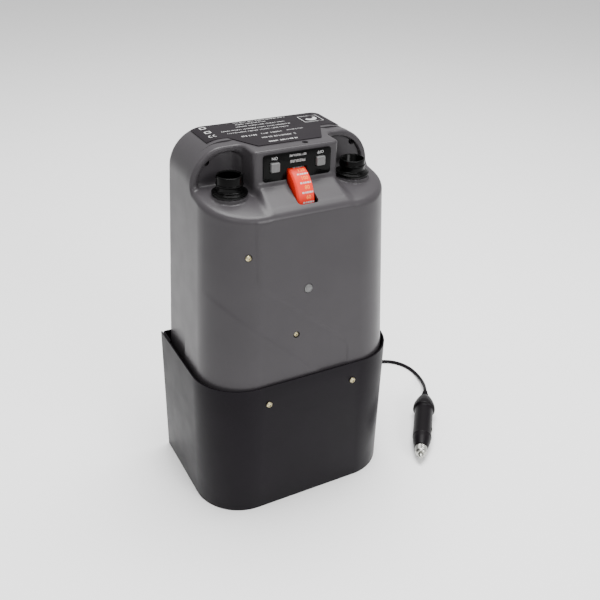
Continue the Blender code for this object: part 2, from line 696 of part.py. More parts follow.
def pressure_dial():
    """The thumbwheel, its axle and the bracket that carries them."""
    rim, r = DIAL_RIM_HALF, DIAL_RADIUS
    profile = [
        (r - 0.8 * MM, rim), (r, rim - 0.8 * MM), (r, -rim + 0.8 * MM), (r - 0.8 * MM, -rim),
        (r - 9 * MM, -rim - 1.2 * MM), (5.5 * MM, -rim - 1.2 * MM), (2.4 * MM, -rim - 1.2 * MM),
        (2.4 * MM, rim + 1.2 * MM), (5.5 * MM, rim + 1.2 * MM), (r - 9 * MM, rim + 1.2 * MM),
    ]
    place = Matrix.Translation((0, DIAL_Y, DIAL_Z)) @ axis_matrix("X")
    turned("pressure_dial", "dial_red", profile, 48, place)
    add_object("dial_axle", cylinder_mesh(
        "dial_axle", 2 * MM, -14 * MM, 14 * MM, "X", (DIAL_Y, DIAL_Z), 16), "steel")
    bracket = add_object("dial_bracket", box_mesh(
        "dial_bracket", (27 * MM, 52 * MM, 14 * MM), (0, 8 * MM, DIAL_Z)), "nylon_white")
    boolean(bracket, box_mesh("gap", (21 * MM, 120 * MM, 60 * MM), (0, DIAL_Y - 60 * MM + 46 * MM, DIAL_Z)))
    boolean(bracket, cylinder_mesh("axle", 2.3 * MM, -20 * MM, 20 * MM, "X", (DIAL_Y, DIAL_Z), 16))


def label():
    """The dark foil label that wraps over the shoulders, with a tongue onto the console."""
    outer = arch_outline(REAR_HALF_WIDTH, REAR_DRAFT, 300 * MM, -0.7 * MM)
    obj = add_object("top_label", prism_mesh("top_label", outer, -20 * MM, 65 * MM), "label_dark")
    inner = arch_outline(REAR_HALF_WIDTH, REAR_DRAFT, 290 * MM, -0.3 * MM)
    boolean(obj, prism_mesh("under", inner, -25 * MM, 70 * MM))
    plan = [
        (-64 * MM, 55 * MM), (-64 * MM, 17.5 * MM), (-45 * MM, 17.5 * MM), (-30 * MM, -12 * MM),
        (30 * MM, -12 * MM), (45 * MM, 17.5 * MM), (64 * MM, 17.5 * MM), (64 * MM, 55 * MM),
    ]
    boolean(obj, prism_mesh("plan", plan, 320 * MM, 360 * MM, "Z"), "INTERSECT")


# ---------------------------------------------------------------- battery and electrics

def battery():
    low = SHEET + GAP
    add_object("battery", box_mesh(
        "battery", BATTERY, (0, 0, low + BATTERY[2] / 2), 2 * MM, 2), "battery_case")
    top = low + BATTERY[2] + GAP
    for side, word, colour in ((-1, "negative", "black_lead"), (1, "positive", "red_lead")):
        add_object(f"terminal_{word}", box_mesh(
            f"terminal_{word}", (6.3 * MM, 0.8 * MM, 6.5 * MM),
            (side * TERMINAL_X, TERMINAL_Y, top + 3.25 * MM)), "brass")
        start = top + 6.5 * MM + GAP + 0.6 * MM
        route = [
            (TERMINAL_X / MM, TERMINAL_Y / MM, start / MM), (63.4, 22.2, 105.4), (57, 24.4, 107.4),
            (44, 28, 107.8), (34, 30, 108.6), (30.2, 30, 113), (30, 30, 122), (26, 33, 130), (20, 38, 134),
            (15, 43, 135), (14, 48.4, 135),
        ]
        route = [(side * x, y, z) for x, y, z in route]
        tube(colour, "lead_red" if side > 0 else "rubber", smooth_route(route, 6 * MM), 1.3 * MM)


def electronics():
    board = (76 * MM, 1.6 * MM, 40 * MM)
    add_object("circuit_board", box_mesh("circuit_board", board, (0, 50 * MM, 142 * MM)), "board_green")
    for name, colour, size, place in (
        ("relay", "battery_case", (19 * MM, 15 * MM, 15.5 * MM), (-22 * MM, 41.2 * MM, 150 * MM)),
        ("fuse", "dial_red", (19 * MM, 8 * MM, 12 * MM), (22 * MM, 44.8 * MM, 150 * MM)),
    ):
        add_object(name, box_mesh(name, size, place, 0.6 * MM, 1), colour)
    add_object("pressure_switch", cylinder_mesh(
        "pressure_switch", 11 * MM, 36 * MM, 52 * MM, "Y", (0, 315 * MM), 20), "nylon_white")


# ---------------------------------------------------------------- drive train

def gear_outline(teeth, backlash=0.16):
    """A straight-flanked gear outline with the teeth thinned for running clearance."""
    pitch = teeth * GEAR_MODULE / 2
    tip, root = pitch + 0.9 * GEAR_MODULE, pitch - 1.2 * GEAR_MODULE
    step = 2 * math.pi / teeth
    corner = 0.13 - backlash / 4
    points = []
    for tooth in range(teeth):
        middle = tooth * step
        for radius, share in ((root, -0.32), (tip, -corner), (tip, corner), (root, 0.32)):
            angle = middle + share * step
            points.append((radius * math.cos(angle), radius * math.sin(angle)))
    return points


def drive_pinion():
    """The pinion on the motor shaft; it has a tooth towards the crank gear's gap."""
    mesh = prism_mesh("drive_pinion", gear_outline(PINION_TEETH), GEAR_FRONT, GEAR_REAR)
    obj = add_object("drive_pinion", mesh, "steel")
    obj.location = (MOTOR_X, 0, MOTOR_Z)
    boolean(obj, cylinder_mesh(
        "bore", 2.3 * MM, GEAR_FRONT - 5 * MM, GEAR_REAR + 5 * MM, "Y", (MOTOR_X, MOTOR_Z), 12))


def crank_gear():
    """The crank gear with its crank pin, turned half a tooth so that it meshes with the pinion."""
    turn = math.pi + math.pi / CRANK_TEETH
    outline = [
        (x * math.cos(turn) - z * math.sin(turn), x * math.sin(turn) + z * math.cos(turn))
        for x, z in gear_outline(CRANK_TEETH)
    ]
    obj = add_object("crank_gear", prism_mesh("crank_gear", outline, GEAR_FRONT, GEAR_REAR), "nylon_white")
    obj.location = (CRANK_X, 0, MOTOR_Z)
    pin = (CRANK_X, MOTOR_Z - CRANK_RADIUS)
    boolean(obj, cylinder_mesh(
        "crank_pin", 3 * MM, GEAR_FRONT - 2 * MM, GEAR_FRONT + 1 * MM, "Y", pin, 16), "UNION")
    boolean(obj, cylinder_mesh(
        "bore", 3.3 * MM, GEAR_FRONT - 1 * MM, GEAR_REAR + 5 * MM, "Y", (CRANK_X, MOTOR_Z), 16))


def gearbox():
    """The plate that joins motor, crank axle and cylinder, and the axle itself."""
    outline = in_mm([(-48, 200), (-2, 172), (44, 172), (52, 214), (44, 246), (-2, 262), (-48, 254)])
    mesh = prism_mesh("gearbox_plate", outline, PLATE_FRONT, PLATE_REAR)
    plate = add_object("gearbox_plate", mesh, "cast_alloy")
    boolean(plate, cylinder_mesh("shaft", 5 * MM, -50 * MM, 0, "Y", (MOTOR_X, MOTOR_Z), 16))
    boolean(plate, cylinder_mesh("axle", 3.3 * MM, -50 * MM, 0, "Y", (CRANK_X, MOTOR_Z), 16))
    profile = in_mm([(0, 13.6), (3, 13.6), (3, 0.2), (5.5, 0.2), (5.5, -1.6), (0, -1.6)])
    place = Matrix.Translation((CRANK_X, PLATE_REAR + GAP + 0.2 * MM, MOTOR_Z)) @ axis_matrix((0, -1, 0))
    turned("crank_axle", "steel", profile, 16, place)


def motor():
    """Motor can with its end cap; the armature and shaft turn inside."""
    length = MOTOR_REAR - MOTOR_FRONT
    wall = 2 * MM
    can = [
        (MOTOR_RADIUS, length), (MOTOR_RADIUS, 0), (4 * MM, 0), (4 * MM, wall),
        (MOTOR_RADIUS - wall, wall), (MOTOR_RADIUS - wall, length),
    ]
    front = Matrix.Translation((MOTOR_X, MOTOR_FRONT, MOTOR_Z)) @ axis_matrix("Y")
    turned("motor_can", "steel", can, 32, front)
    cap = [
        (MOTOR_RADIUS - 1 * MM, length + 2.4 * MM), (MOTOR_RADIUS - 1 * MM, length + GAP),
        (MOTOR_RADIUS - wall - GAP, length + GAP), (MOTOR_RADIUS - wall - GAP, length - 2 * MM),
        (4 * MM, length - 2 * MM), (4 * MM, length + 2.4 * MM),
    ]
    turned("motor_endcap", "nylon_white", cap, 32, front)
    shaft, core = 2 * MM, 19 * MM
    commutator = 9 * MM
    armature = [
        (0, 78 * MM), (shaft, 78 * MM), (shaft, 43 * MM), (commutator, 43 * MM), (commutator, 37 * MM),
        (core, 36 * MM), (core, 8 * MM), (shaft, 7 * MM), (shaft, -15.5 * MM), (0, -15.5 * MM),
    ]
    turned("motor_armature", "steel", armature, 20, front)


def blower():
    """Centrifugal blower: a cup that opens towards the motor, its cover and the impeller."""
    depth = BLOWER_REAR - BLOWER_FRONT
    rear = Matrix.Translation((MOTOR_X, BLOWER_FRONT, MOTOR_Z)) @ axis_matrix("Y")
    wall = 2 * MM
    drum = [(0, depth), (BLOWER_RADIUS, depth), (BLOWER_RADIUS, 0), (0, 0)]
    housing = turned("blower_housing", "battery_case", drum, 40, rear)
    outlet = (-62.5 * MM, 38.5 * MM)
    boolean(housing, cylinder_mesh("outlet", 7.8 * MM, 250 * MM, 273 * MM, "Z", outlet, 20), "UNION")
    boolean(housing, cylinder_mesh("bore", 6.2 * MM, 240 * MM, 290 * MM, "Z", outlet, 20))
    centre, inside = (MOTOR_X, MOTOR_Z), BLOWER_RADIUS - wall
    boolean(housing, cylinder_mesh(
        "chamber", inside, BLOWER_FRONT - 5 * MM, BLOWER_REAR - wall, "Y", centre, 40))
    boolean(housing, cylinder_mesh(
        "inlet", 14 * MM, BLOWER_REAR - 5 * MM, BLOWER_REAR + 5 * MM, "Y", centre, 20))
    cover = [
        (inside - GAP, 3 * MM), (inside - GAP, 0.6 * MM), (3 * MM, 0.6 * MM), (3 * MM, 3 * MM),
    ]
    turned("blower_cover", "battery_case", cover, 40, rear)
    hub, bore = 6 * MM, 2.3 * MM
    fan = [
        (IMPELLER_RADIUS, 8.5 * MM), (IMPELLER_RADIUS, 7 * MM), (bore, 5 * MM), (bore, 19 * MM),
        (hub, 19 * MM), (hub + 1 * MM, 8.5 * MM),
    ]
    impeller = turned("fan_impeller", "nylon_white", fan[::-1], 32, rear)
    for blade in range(8):
        mesh = box_mesh("blade", (38 * MM, 1.6 * MM, 11.5 * MM), (30 * MM, 0, 13.2 * MM))
        mesh.transform(rear @ Matrix.Rotation(math.radians(45 * blade), 4, "Z"))
        boolean(impeller, mesh, "UNION")


def compressor():
    """Piston with its rod, cylinder and cylinder head, below the crank gear."""
    place = Matrix.Translation((CRANK_X, PISTON_Y, 0))
    bore, outer = PISTON_RADIUS + 0.4 * MM, PISTON_RADIUS + 2.6 * MM
    low, high = CYLINDER_LOW, CYLINDER_HIGH
    turned("cylinder", "cast_alloy", [(outer, high), (outer, low), (bore, low), (bore, high)], 28, place)
    head = [
        (0, low - GAP), (outer, low - GAP), (outer, low - 7 * MM), (3.5 * MM, low - 8 * MM),
        (3 * MM, low - 16 * MM), (0, low - 16 * MM),
    ]
    turned("cylinder_head", "cast_alloy", head, 28, place)
    big_end = MOTOR_Z - CRANK_RADIUS
    rod_y = GEAR_FRONT - 4.6 * MM
    piston = turned("piston_rod", "cast_alloy", [
        (0, PISTON_Z + PISTON_HALF), (PISTON_RADIUS, PISTON_Z + PISTON_HALF),
        (PISTON_RADIUS, PISTON_Z - PISTON_HALF), (0, PISTON_Z - PISTON_HALF),
    ], 28, place)
    boolean(piston, box_mesh(
        "rod", (6 * MM, 4 * MM, big_end - PISTON_Z), (CRANK_X, rod_y, (big_end + PISTON_Z) / 2)), "UNION")
    boolean(piston, cylinder_mesh(
        "eye", 5.8 * MM, rod_y - 2 * MM, rod_y + 2 * MM, "Y", (CRANK_X, big_end), 20), "UNION")
    boolean(piston, cylinder_mesh(
        "pin_hole", 3.3 * MM, rod_y - 5 * MM, rod_y + 5 * MM, "Y", (CRANK_X, big_end), 16))


def air_hose():
    """The hose from the blower outlet up to the inflating port."""
    route = [
        (-62.5, 38.5, 273.5), (-62.5, 38.3, 280), (-62.6, 35, 286.6), (-62, 26, 291.6),
        (-61, 14, 290.6), (-60, 2, 288.6), (-59.2, -9, 287), (-58.8, -15.4, 288.6),
        (-58.8, -17.7, 292), (-58.8, -17.7, 295.6),
    ]
    tube("air_hose", "rubber", smooth_route(route, 6 * MM), 7.4 * MM, 3)


# ---------------------------------------------------------------- cord and plug

def cord():
    place = Matrix.Translation((GLAND.x, GLAND.y, GLAND.z)) @ axis_matrix("Y")
    wall = SLEEVE_DEPTH / 2 - GLAND.y
    flange, neck, lip = 6.5 * MM, 4.4 * MM, 5.4 * MM
    inside = wall - SHEET
    profile = [
        (0, 0), (2.7 * MM, 0), (4 * MM, wall + 2.8 * MM), (flange, wall + 2.3 * MM), (flange, wall + GAP),
        (neck, wall + GAP), (neck, inside - GAP), (lip, inside - GAP), (lip, inside - 2 * MM),
        (0, inside - 2 * MM),
    ]
    turned("cord_gland", "rubber", profile, 16, place)
    spacing = 5 * CORD_RADIUS
    tube("cord_to_coil", "rubber", smooth_route(CORD_TO_COIL, spacing), CORD_RADIUS)
    tube("cord_to_plug", "rubber", smooth_route(CORD_TO_PLUG, spacing), CORD_RADIUS)
    inner, outer, height = COIL_RADIUS - COIL_HALF, COIL_RADIUS + COIL_HALF, 2 * COIL_HALF
    edge = 1.2 * MM
    ring = [
        (outer - edge, height), (outer, height - edge), (outer, edge), (outer - edge, 0.02 * MM),
        (inner + edge, 0.02 * MM), (inner, edge), (inner, height - edge), (inner + edge, height),
    ]
    turned("cord_coil", "rubber", ring, 32, Matrix.Translation(COIL_CENTRE))


def plug():
    """A 12 V accessory plug: body, side spring, metal cap and sprung centre pin."""
    place = Matrix.Translation(PLUG_TAIL) @ axis_matrix(-PLUG_AXIS)
    body = in_mm([
        (0, -0.4), (2.7, -0.4), (3.6, -7), (6.5, -13), (9.6, -20), (11.8, -27), (12.4, -31), (12.4, -34),
        (10.4, -35), (10.4, -80), (9.6, -86), (7, -97), (3, -97), (3, -90), (0, -90),
    ])
    obj = turned("plug_body", "gloss_black", body, 24, place)
    pocket = box_mesh("pocket", (6 * MM, 5.2 * MM, 17 * MM), (11.4 * MM, 0, -69 * MM))
    turn = Matrix.Rotation(math.radians(SPRING_ANGLE), 4, "Z")
    pocket.transform(place @ turn)
    boolean(obj, pocket)
    strip = in_mm([(8.9, -76.8), (9.5, -77), (11.1, -69), (9.5, -61), (8.9, -61.2), (10.3, -69)])
    spring = prism_mesh("plug_spring", strip, -1.9 * MM, 1.9 * MM)
    spring.transform(place @ turn)
    add_object("plug_spring", spring, "steel")
    cap = in_mm([(6.6, -97.3), (6.4, -104), (4.6, -107), (2.9, -107), (2.9, -97.3)])
    turned("plug_cap", "steel", cap, 24, place)
    pin = in_mm([(0, -93.4), (2.5, -93.4), (2.5, -110.5), (1.4, -112), (0, -112.4)])
    turned("plug_pin", "brass", pin, 16, place)


def build():
    start_scene()
    battery_sleeve()
    rear_panel()
    base_plate()
    support_shelf()
    front_cover()
    rear_shell()
    screws()
    screw_cap()
    port("inflate", -1)
    port("deflate", 1)
    control_panel()
    button("on_button", -1)
    button("off_button", 1)
    pressure_dial()
    label()
    battery()
    electronics()
    drive_pinion()
    crank_gear()
    gearbox()
    motor()
    blower()
    compressor()
    air_hose()
    cord()
    plug()


build()
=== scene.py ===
"""Looks of the portable air pump in its battery sleeve.

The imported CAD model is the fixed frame. The moulded case, ports, dial, print, screws, sleeve, lead
and plug are modelled finely here, in millimetres times MM; every place comes from the CAD nodes'
boxes and a few driving sizes. The case is drawn as a distance field, so that its blends are true
fillets, and turned into a mesh with one vertex for each grid cell that its surface crosses.
"""

import json
import math
import random

import bmesh
import bpy
import numpy as np
from mathutils import Matrix, Vector


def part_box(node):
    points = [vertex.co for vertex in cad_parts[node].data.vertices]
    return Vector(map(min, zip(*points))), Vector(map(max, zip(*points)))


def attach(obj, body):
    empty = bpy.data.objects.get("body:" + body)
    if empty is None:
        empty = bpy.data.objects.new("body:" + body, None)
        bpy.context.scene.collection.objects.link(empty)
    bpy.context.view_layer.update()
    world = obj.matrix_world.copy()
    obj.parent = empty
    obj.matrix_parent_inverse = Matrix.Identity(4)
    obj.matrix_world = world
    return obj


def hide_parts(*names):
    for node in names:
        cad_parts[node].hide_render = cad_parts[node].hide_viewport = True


MM = 0.001

# ---------------------------------------------------------------- driving sizes

# Camera: the photographer's view
AZIMUTH, ELEVATION, ROLL = (math.radians(a) for a in (-28.82, 29.82, 1.82))
DISTANCE = 0.75975
LOOK_AT = Vector((0.02036, 0.0, 0.18221))
LENS = 47.12

# Case
SLEEVE_TOP = 142.0
CASE_TOP = 346.7
WALL, SEAM = 2.5, 0.35
SPARE = 3.0  # how far a moulding's net runs past the parting plane, where it is cut off
BOSS_RADIUS, BOSS_LENGTH, POST_RADIUS = 5.2, 7.0, 4.2
FRONT_HALF, FRONT_DRAFT = 95.2, 0.0535
REAR_HALF, REAR_DRAFT = 92.75, 0.0475
WIDEST_FRONT = 96.4
FACE_Y, FACE_DRAFT = -62.5, 0.04
FACE_CORNER = 43.0
SHOULDER = 32.0
RIM_Y, RECESS_Y, RIM_WIDTH = 1.0, 4.2, 6.0
SEAT_Z, SEAT_SLOPE, SEAT_EDGE = 312.5, 0.12, 4.0
FACET_Z, FACET_Y, FACET_SLOPE, FACET_RISE = 301.4, -56.0, 0.18, 0.2
PORT_SEAT_Z, PORT_SEAT, PORT_SEAT_FROM, PORT_HOLE = 311.7, 15.4, 300.0, 10.7
PAD_HALF, PAD_Z, PAD_SLOPE, PAD_EDGE = 37.5, 318.0, 0.55, 9.0
CONSOLE_HALF, CONSOLE_Y, CONSOLE_EDGE = 40.0, -24.4, 4.0
CONSOLE_HOLE = (11.0, -17.0, 2.8)
REAR_EDGE = 5.0
UPPER_FROM = 290.0  # height from which the rim and the console stand on the case
RELIEF = 0.6  # depth of the channel on the face, which runs between two straight edges
CHANNEL_LEFT, CHANNEL_RIGHT = -52.0, 38.7
CHANNEL_UPPER, CHANNEL_LOWER = (-52.0, 243.0, -0.847), (-86.0, 229.0, -0.925)  # x, z, slope
LOUVRES, LOUVRE_Z, LOUVRE_PITCH, LOUVRE_HALF, LOUVRE_RADIUS = 6, 232.0, 9.0, 28.3, 1.7

# Controls and ports
SLOT, SLOT_FRONT, SLOT_RADIUS = (-10.3, 9.1), -49.2, 29.5
BUTTON_HOLE = 9.4
FLANGE_Z, FLANGE = 312.9, 15.2
PORT_OUTER, PORT_BORE = 11.2, 9.2
PORT_NOTCHES = {"inflate_port": (170, 350), "deflate_port": ()}
DIAL_RADIUS, DIAL_RIM = 28.0, 7.5
DIAL_ROWS, DIAL_PITCH, DIAL_FIRST, DIAL_NUMBERS = 11, 17, 0.33, (60, 20)  # pitch in degrees

# Sleeve
SLEEVE_HALF, SLEEVE_FRONT, SLEEVE_REAR = 100.0, -65.0, 65.0
SLEEVE_CORNER, SHEET = 46.0, 1.5
PANEL_HALF, TAB, BEND = 98.2, 20.0, 2.5
SCREW_HOLE, GLAND_HOLE = 2.2, 4.8
GLAND_PLACE = (60.0, 28.0)

# Lead
CORD_RADIUS = 2.0
COIL_CENTRE = (-5.0, 112.0)
TURN_RADII = (26.4, 22.4, 18.4)
CORD_TO_COIL = [
    (60, 90.6, 28), (60.1, 99.5, 27), (59.4, 108.5, 21.5), (57, 117, 13.2), (52, 125, 6.2),
    (44, 131.6, 2.7), (34, 135.8, 2.05), (24, 137.8, 2.05), (11.5, 138.4, 2.05),
]
CORD_TO_PLUG = [
    (11.5, 85.6, 10), (20, 85.6, 9.4), (30, 85.8, 7.4), (42, 86.4, 4.2), (54, 87.4, 2.4),
    (70, 89, 2.05), (95, 92.4, 2.05), (125, 96, 2.05), (155, 98.2, 2.05), (175, 97.6, 2.05),
    (190, 94.2, 2.05), (202, 88.2, 2.05), (210.5, 78.6, 2.05), (215.2, 66, 2.1),
    (215.6, 52, 2.4), (212.4, 38, 4.2), (206.8, 25, 7.4), (200, 13.6, 11.2), (194.4, 5.3, 13.9),
]
PLUG_TAIL = Vector((193.6, 4.2, 14.3))
PLUG_AXIS = Vector((-0.6155, -0.7881, -0.0436)).normalized()

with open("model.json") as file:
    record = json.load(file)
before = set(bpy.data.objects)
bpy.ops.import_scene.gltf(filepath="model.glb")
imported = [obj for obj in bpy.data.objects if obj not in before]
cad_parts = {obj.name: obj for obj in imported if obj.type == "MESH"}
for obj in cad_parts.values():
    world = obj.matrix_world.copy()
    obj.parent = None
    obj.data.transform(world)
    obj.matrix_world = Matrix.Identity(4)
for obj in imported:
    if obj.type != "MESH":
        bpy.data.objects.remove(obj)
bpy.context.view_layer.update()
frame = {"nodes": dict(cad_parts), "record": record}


def span(node):
    """A CAD node's lowest and highest corners, in millimetres."""
    low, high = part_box(node)
    return low / MM, high / MM


def middle(node):
    low, high = span(node)
    return (low + high) / 2


# ---------------------------------------------------------------- camera, light and floor

def add_camera():
    forward = Vector((
        -math.sin(AZIMUTH) * math.cos(ELEVATION),
        math.cos(AZIMUTH) * math.cos(ELEVATION),
        -math.sin(ELEVATION),
    ))
    level = forward.cross(Vector((0, 0, 1))).normalized()
    upright = level.cross(forward)
    right = level * math.cos(ROLL) + upright * math.sin(ROLL)
    up = upright * math.cos(ROLL) - level * math.sin(ROLL)
    camera = bpy.data.objects.new("camera", bpy.data.cameras.new("camera"))
    camera.data.lens = LENS
    camera.data.sensor_width = 36
    place = Matrix((right, up, -forward)).transposed().to_4x4()
    place.translation = LOOK_AT - forward * DISTANCE
    camera.matrix_world = place
    bpy.context.scene.collection.objects.link(camera)
    bpy.context.scene.camera = camera


def add_softbox(name, place, size, power):
    light = bpy.data.lights.new(name, "AREA")
    light.shape = "RECTANGLE"
    light.size, light.size_y = size
    light.energy = power
    obj = bpy.data.objects.new(name, light)
    obj.location = place
    obj.rotation_euler = (Vector((0, 0, 0.2)) - obj.location).to_track_quat("-Z", "Y").to_euler()
    bpy.context.scene.collection.objects.link(obj)


def add_studio():
    world = bpy.data.worlds.new("studio")
    world.use_nodes = True
    background = world.node_tree.nodes["Background"]
    background.inputs["Color"].default_value = (1, 1, 1, 1)
    background.inputs["Strength"].default_value = 0.8
    bpy.context.scene.world = world
    add_softbox("key", (-1.1, -1.2, 1.5), (0.5, 0.5), 6)
    add_softbox("fill", (0.5, -1.9, 1.2), (0.9, 0.7), 26)
    add_softbox("top", (0.15, 0.15, 1.9), (1.2, 1.2), 72)
    floor = new_object("floor", disc(9000), flat_material("floor", (0.94, 0.94, 0.94), 0.7))


# ---------------------------------------------------------------- objects and meshes

def new_object(name, mesh, material):
    mesh.materials.clear()
    mesh.materials.append(material)
    obj = bpy.data.objects.new(name, mesh)
    bpy.context.scene.collection.objects.link(obj)
    return obj


def shade(mesh, angle=40):
    mesh.shade_smooth()
    mesh.set_sharp_from_angle(angle=math.radians(angle))
    return mesh


def to_mesh(bm, angle=40):
    """A bmesh in millimetres as a mesh in metres."""
    bmesh.ops.recalc_face_normals(bm, faces=bm.faces)
    bmesh.ops.scale(bm, vec=(MM, MM, MM), verts=bm.verts)
    mesh = bpy.data.meshes.new("shape")
    bm.to_mesh(mesh)
    bm.free()
    return shade(mesh, angle)


def disc(radius):
    bm = bmesh.new()
    bmesh.ops.create_circle(bm, cap_ends=True, segments=64, radius=radius)
    return to_mesh(bm)


def axis_matrix(direction, place=(0, 0, 0)):
    """Turns +Z onto a direction and moves the origin to a place."""
    turn = Vector((0, 0, 1)).rotation_difference(Vector(direction)).to_matrix().to_4x4()
    return Matrix.Translation(place) @ turn


def add_box(bm, size, place=(0, 0, 0), matrix=Matrix.Identity(4), bevel=0.0):
    made = bmesh.ops.create_cube(bm, size=1.0)["verts"]
    bmesh.ops.scale(bm, vec=size, verts=made)
    if bevel:
        edges = list({e for v in made for e in v.link_edges})
        made = bmesh.ops.bevel(
            bm, geom=edges, offset=bevel, segments=3, affect="EDGES", profile=0.5
        )["verts"]
    bmesh.ops.transform(bm, matrix=matrix @ Matrix.Translation(place), verts=made)


def add_drum(bm, radius, start, end, matrix=Matrix.Identity(4), segments=48):
    made = bmesh.ops.create_cone(
        bm, cap_ends=True, segments=segments, radius1=radius, radius2=radius, depth=end - start
    )["verts"]
    place = matrix @ Matrix.Translation((0, 0, (start + end) / 2))
    bmesh.ops.transform(bm, matrix=place, verts=made)


def add_prism(bm, outline, start, end, matrix=Matrix.Identity(4)):
    """A closed prism along local Z over an outline of (x, y) points."""
    low = [bm.verts.new(matrix @ Vector((x, y, start))) for x, y in outline]
    high = [bm.verts.new(matrix @ Vector((x, y, end))) for x, y in outline]
    faces = [bm.faces.new(low[::-1]), bm.faces.new(high)]
    for i in range(len(outline)):
        j = (i + 1) % len(outline)
        faces.append(bm.faces.new((low[i], low[j], high[j], high[i])))
    return faces


def add_lathe(bm, profile, matrix=Matrix.Identity(4), segments=64, ripple=None):
    """A solid turned about local Z from (radius, height) points; ripple changes the radius."""
    rings = []
    for radius, height in profile:
        if radius < 1e-6:
            rings.append([bm.verts.new(matrix @ Vector((0, 0, height)))])
            continue
        ring = []
        for i in range(segments):
            angle = 2 * math.pi * i / segments
            r = radius * ripple(angle, height) if ripple else radius
            point = Vector((r * math.cos(angle), r * math.sin(angle), height))
            ring.append(bm.verts.new(matrix @ point))
        rings.append(ring)
    closed = len(rings[0]) > 1
    for a, b in zip(rings, rings[1:] + (rings[:1] if closed else [])):
        for i in range(segments):
            j = (i + 1) % segments
            corners = [a[i % len(a)], a[j % len(a)], b[j % len(b)], b[i % len(b)]]
            bm.faces.new(list(dict.fromkeys(corners)))


def rounded(points, radius, steps=4):
    """A profile whose inner corners are rounded by a radius, or by less where it is short."""
    result = [points[0]]
    for a, b, c in zip(points, points[1:], points[2:]):
        a, b, c = Vector(a), Vector(b), Vector(c)
        reach = min(radius, (a - b).length * 0.45, (c - b).length * 0.45)
        start, end = b + (a - b).normalized() * reach, b + (c - b).normalized() * reach
        for i in range(steps + 1):
            t = i / steps
            result.append(tuple(start * (1 - t) ** 2 + b * 2 * t * (1 - t) + end * t ** 2))
    return [*result, points[-1]]


def rounded_rect(half_width, half_height, radius, steps=6):
    """The outline of a rectangle with round corners, centred on the origin."""
    outline = []
    for x, y, start in ((1, 1, 0), (-1, 1, 90), (-1, -1, 180), (1, -1, 270)):
        cx, cy = x * (half_width - radius), y * (half_height - radius)
        outline += arc(cx, cy, radius, start, start + 90, steps)
    return outline


def facing_front(x, y, z):
    """Local Z comes out towards the front; local X and Y are the object's X and Z."""
    return axis_matrix((0, -1, 0), (x, y, z))


def arc(cx, cy, radius, start, end, steps):
    """Points on an arc; the angles are in degrees."""
    angles = (math.radians(start + (end - start) * i / steps) for i in range(steps + 1))
    return [(cx + radius * math.cos(a), cy + radius * math.sin(a)) for a in angles]


def path_normals(path, closed):
    """At each point of a plan path, the direction to its left, longer where the path bends."""
    ends = [Vector(b) - Vector(a) for a, b in zip(path, path[1:] + path[:1])]
    sides = [Vector((-e.y, e.x)).normalized() for e in ends]
    if not closed:
        sides[-1] = sides[-2]
    normals = []
    for i, after in enumerate(sides):
        before = sides[i - 1] if closed or i else after
        middle_way = (before + after).normalized()
        normals.append(middle_way / middle_way.dot(after))
    return normals


def add_sweep(bm, path, section, closed=False, matrix=Matrix.Identity(4)):
    """Pushes a closed section of (offset to the left, height) points along a plan path."""
    rings = []
    for p, n in zip(path, path_normals(path, closed)):
        points = [Vector((*(Vector(p) + n * offset), height)) for offset, height in section]
        rings.append([bm.verts.new(matrix @ point) for point in points])
    for a, b in zip(rings, rings[1:] + (rings[:1] if closed else [])):
        for i in range(len(section)):
            j = (i + 1) % len(section)
            bm.faces.new((a[i], b[i], b[j], a[j]))
    if not closed:
        bm.faces.new(rings[0])
        bm.faces.new(rings[-1][::-1])


def cut(obj, tool_mesh):
    """Takes a closed mesh away from obj. A mesh that isn't closed would leave obj as it was."""
    tool = bpy.data.objects.new("tool", tool_mesh)
    bpy.context.scene.collection.objects.link(tool)
    modifier = obj.modifiers.new("shape", "BOOLEAN")
    modifier.operation = "DIFFERENCE"
    modifier.solver = "MANIFOLD"
    modifier.object = tool
    graph = bpy.context.evaluated_depsgraph_get()
    material = obj.data.materials[0]
    result = bpy.data.meshes.new_from_object(obj.evaluated_get(graph))
    obj.modifiers.clear()
    result.materials.clear()
    result.materials.append(material)
    obj.data = shade(result)
    bpy.data.objects.remove(tool)


def place_piece(obj, body, slot, *replaced):
    """Rides a piece on its CAD body, in place of the CAD nodes that it stands for.

    The slot argument is not used; print, which has no material slot of its own in the record, passes
    None.
    """
    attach(obj, body)
    if replaced:
        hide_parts(*replaced)
    return obj


# ---------------------------------------------------------------- materials

def flat_material(name, colour, roughness, metallic=0.0):
    material = bpy.data.materials.new(name)
    material.use_nodes = True
    shader = material.node_tree.nodes["Principled BSDF"]
    shader.inputs["Base Color"].default_value = (*colour, 1)
    shader.inputs["Roughness"].default_value = roughness
    shader.inputs["Metallic"].default_value = metallic
    return material


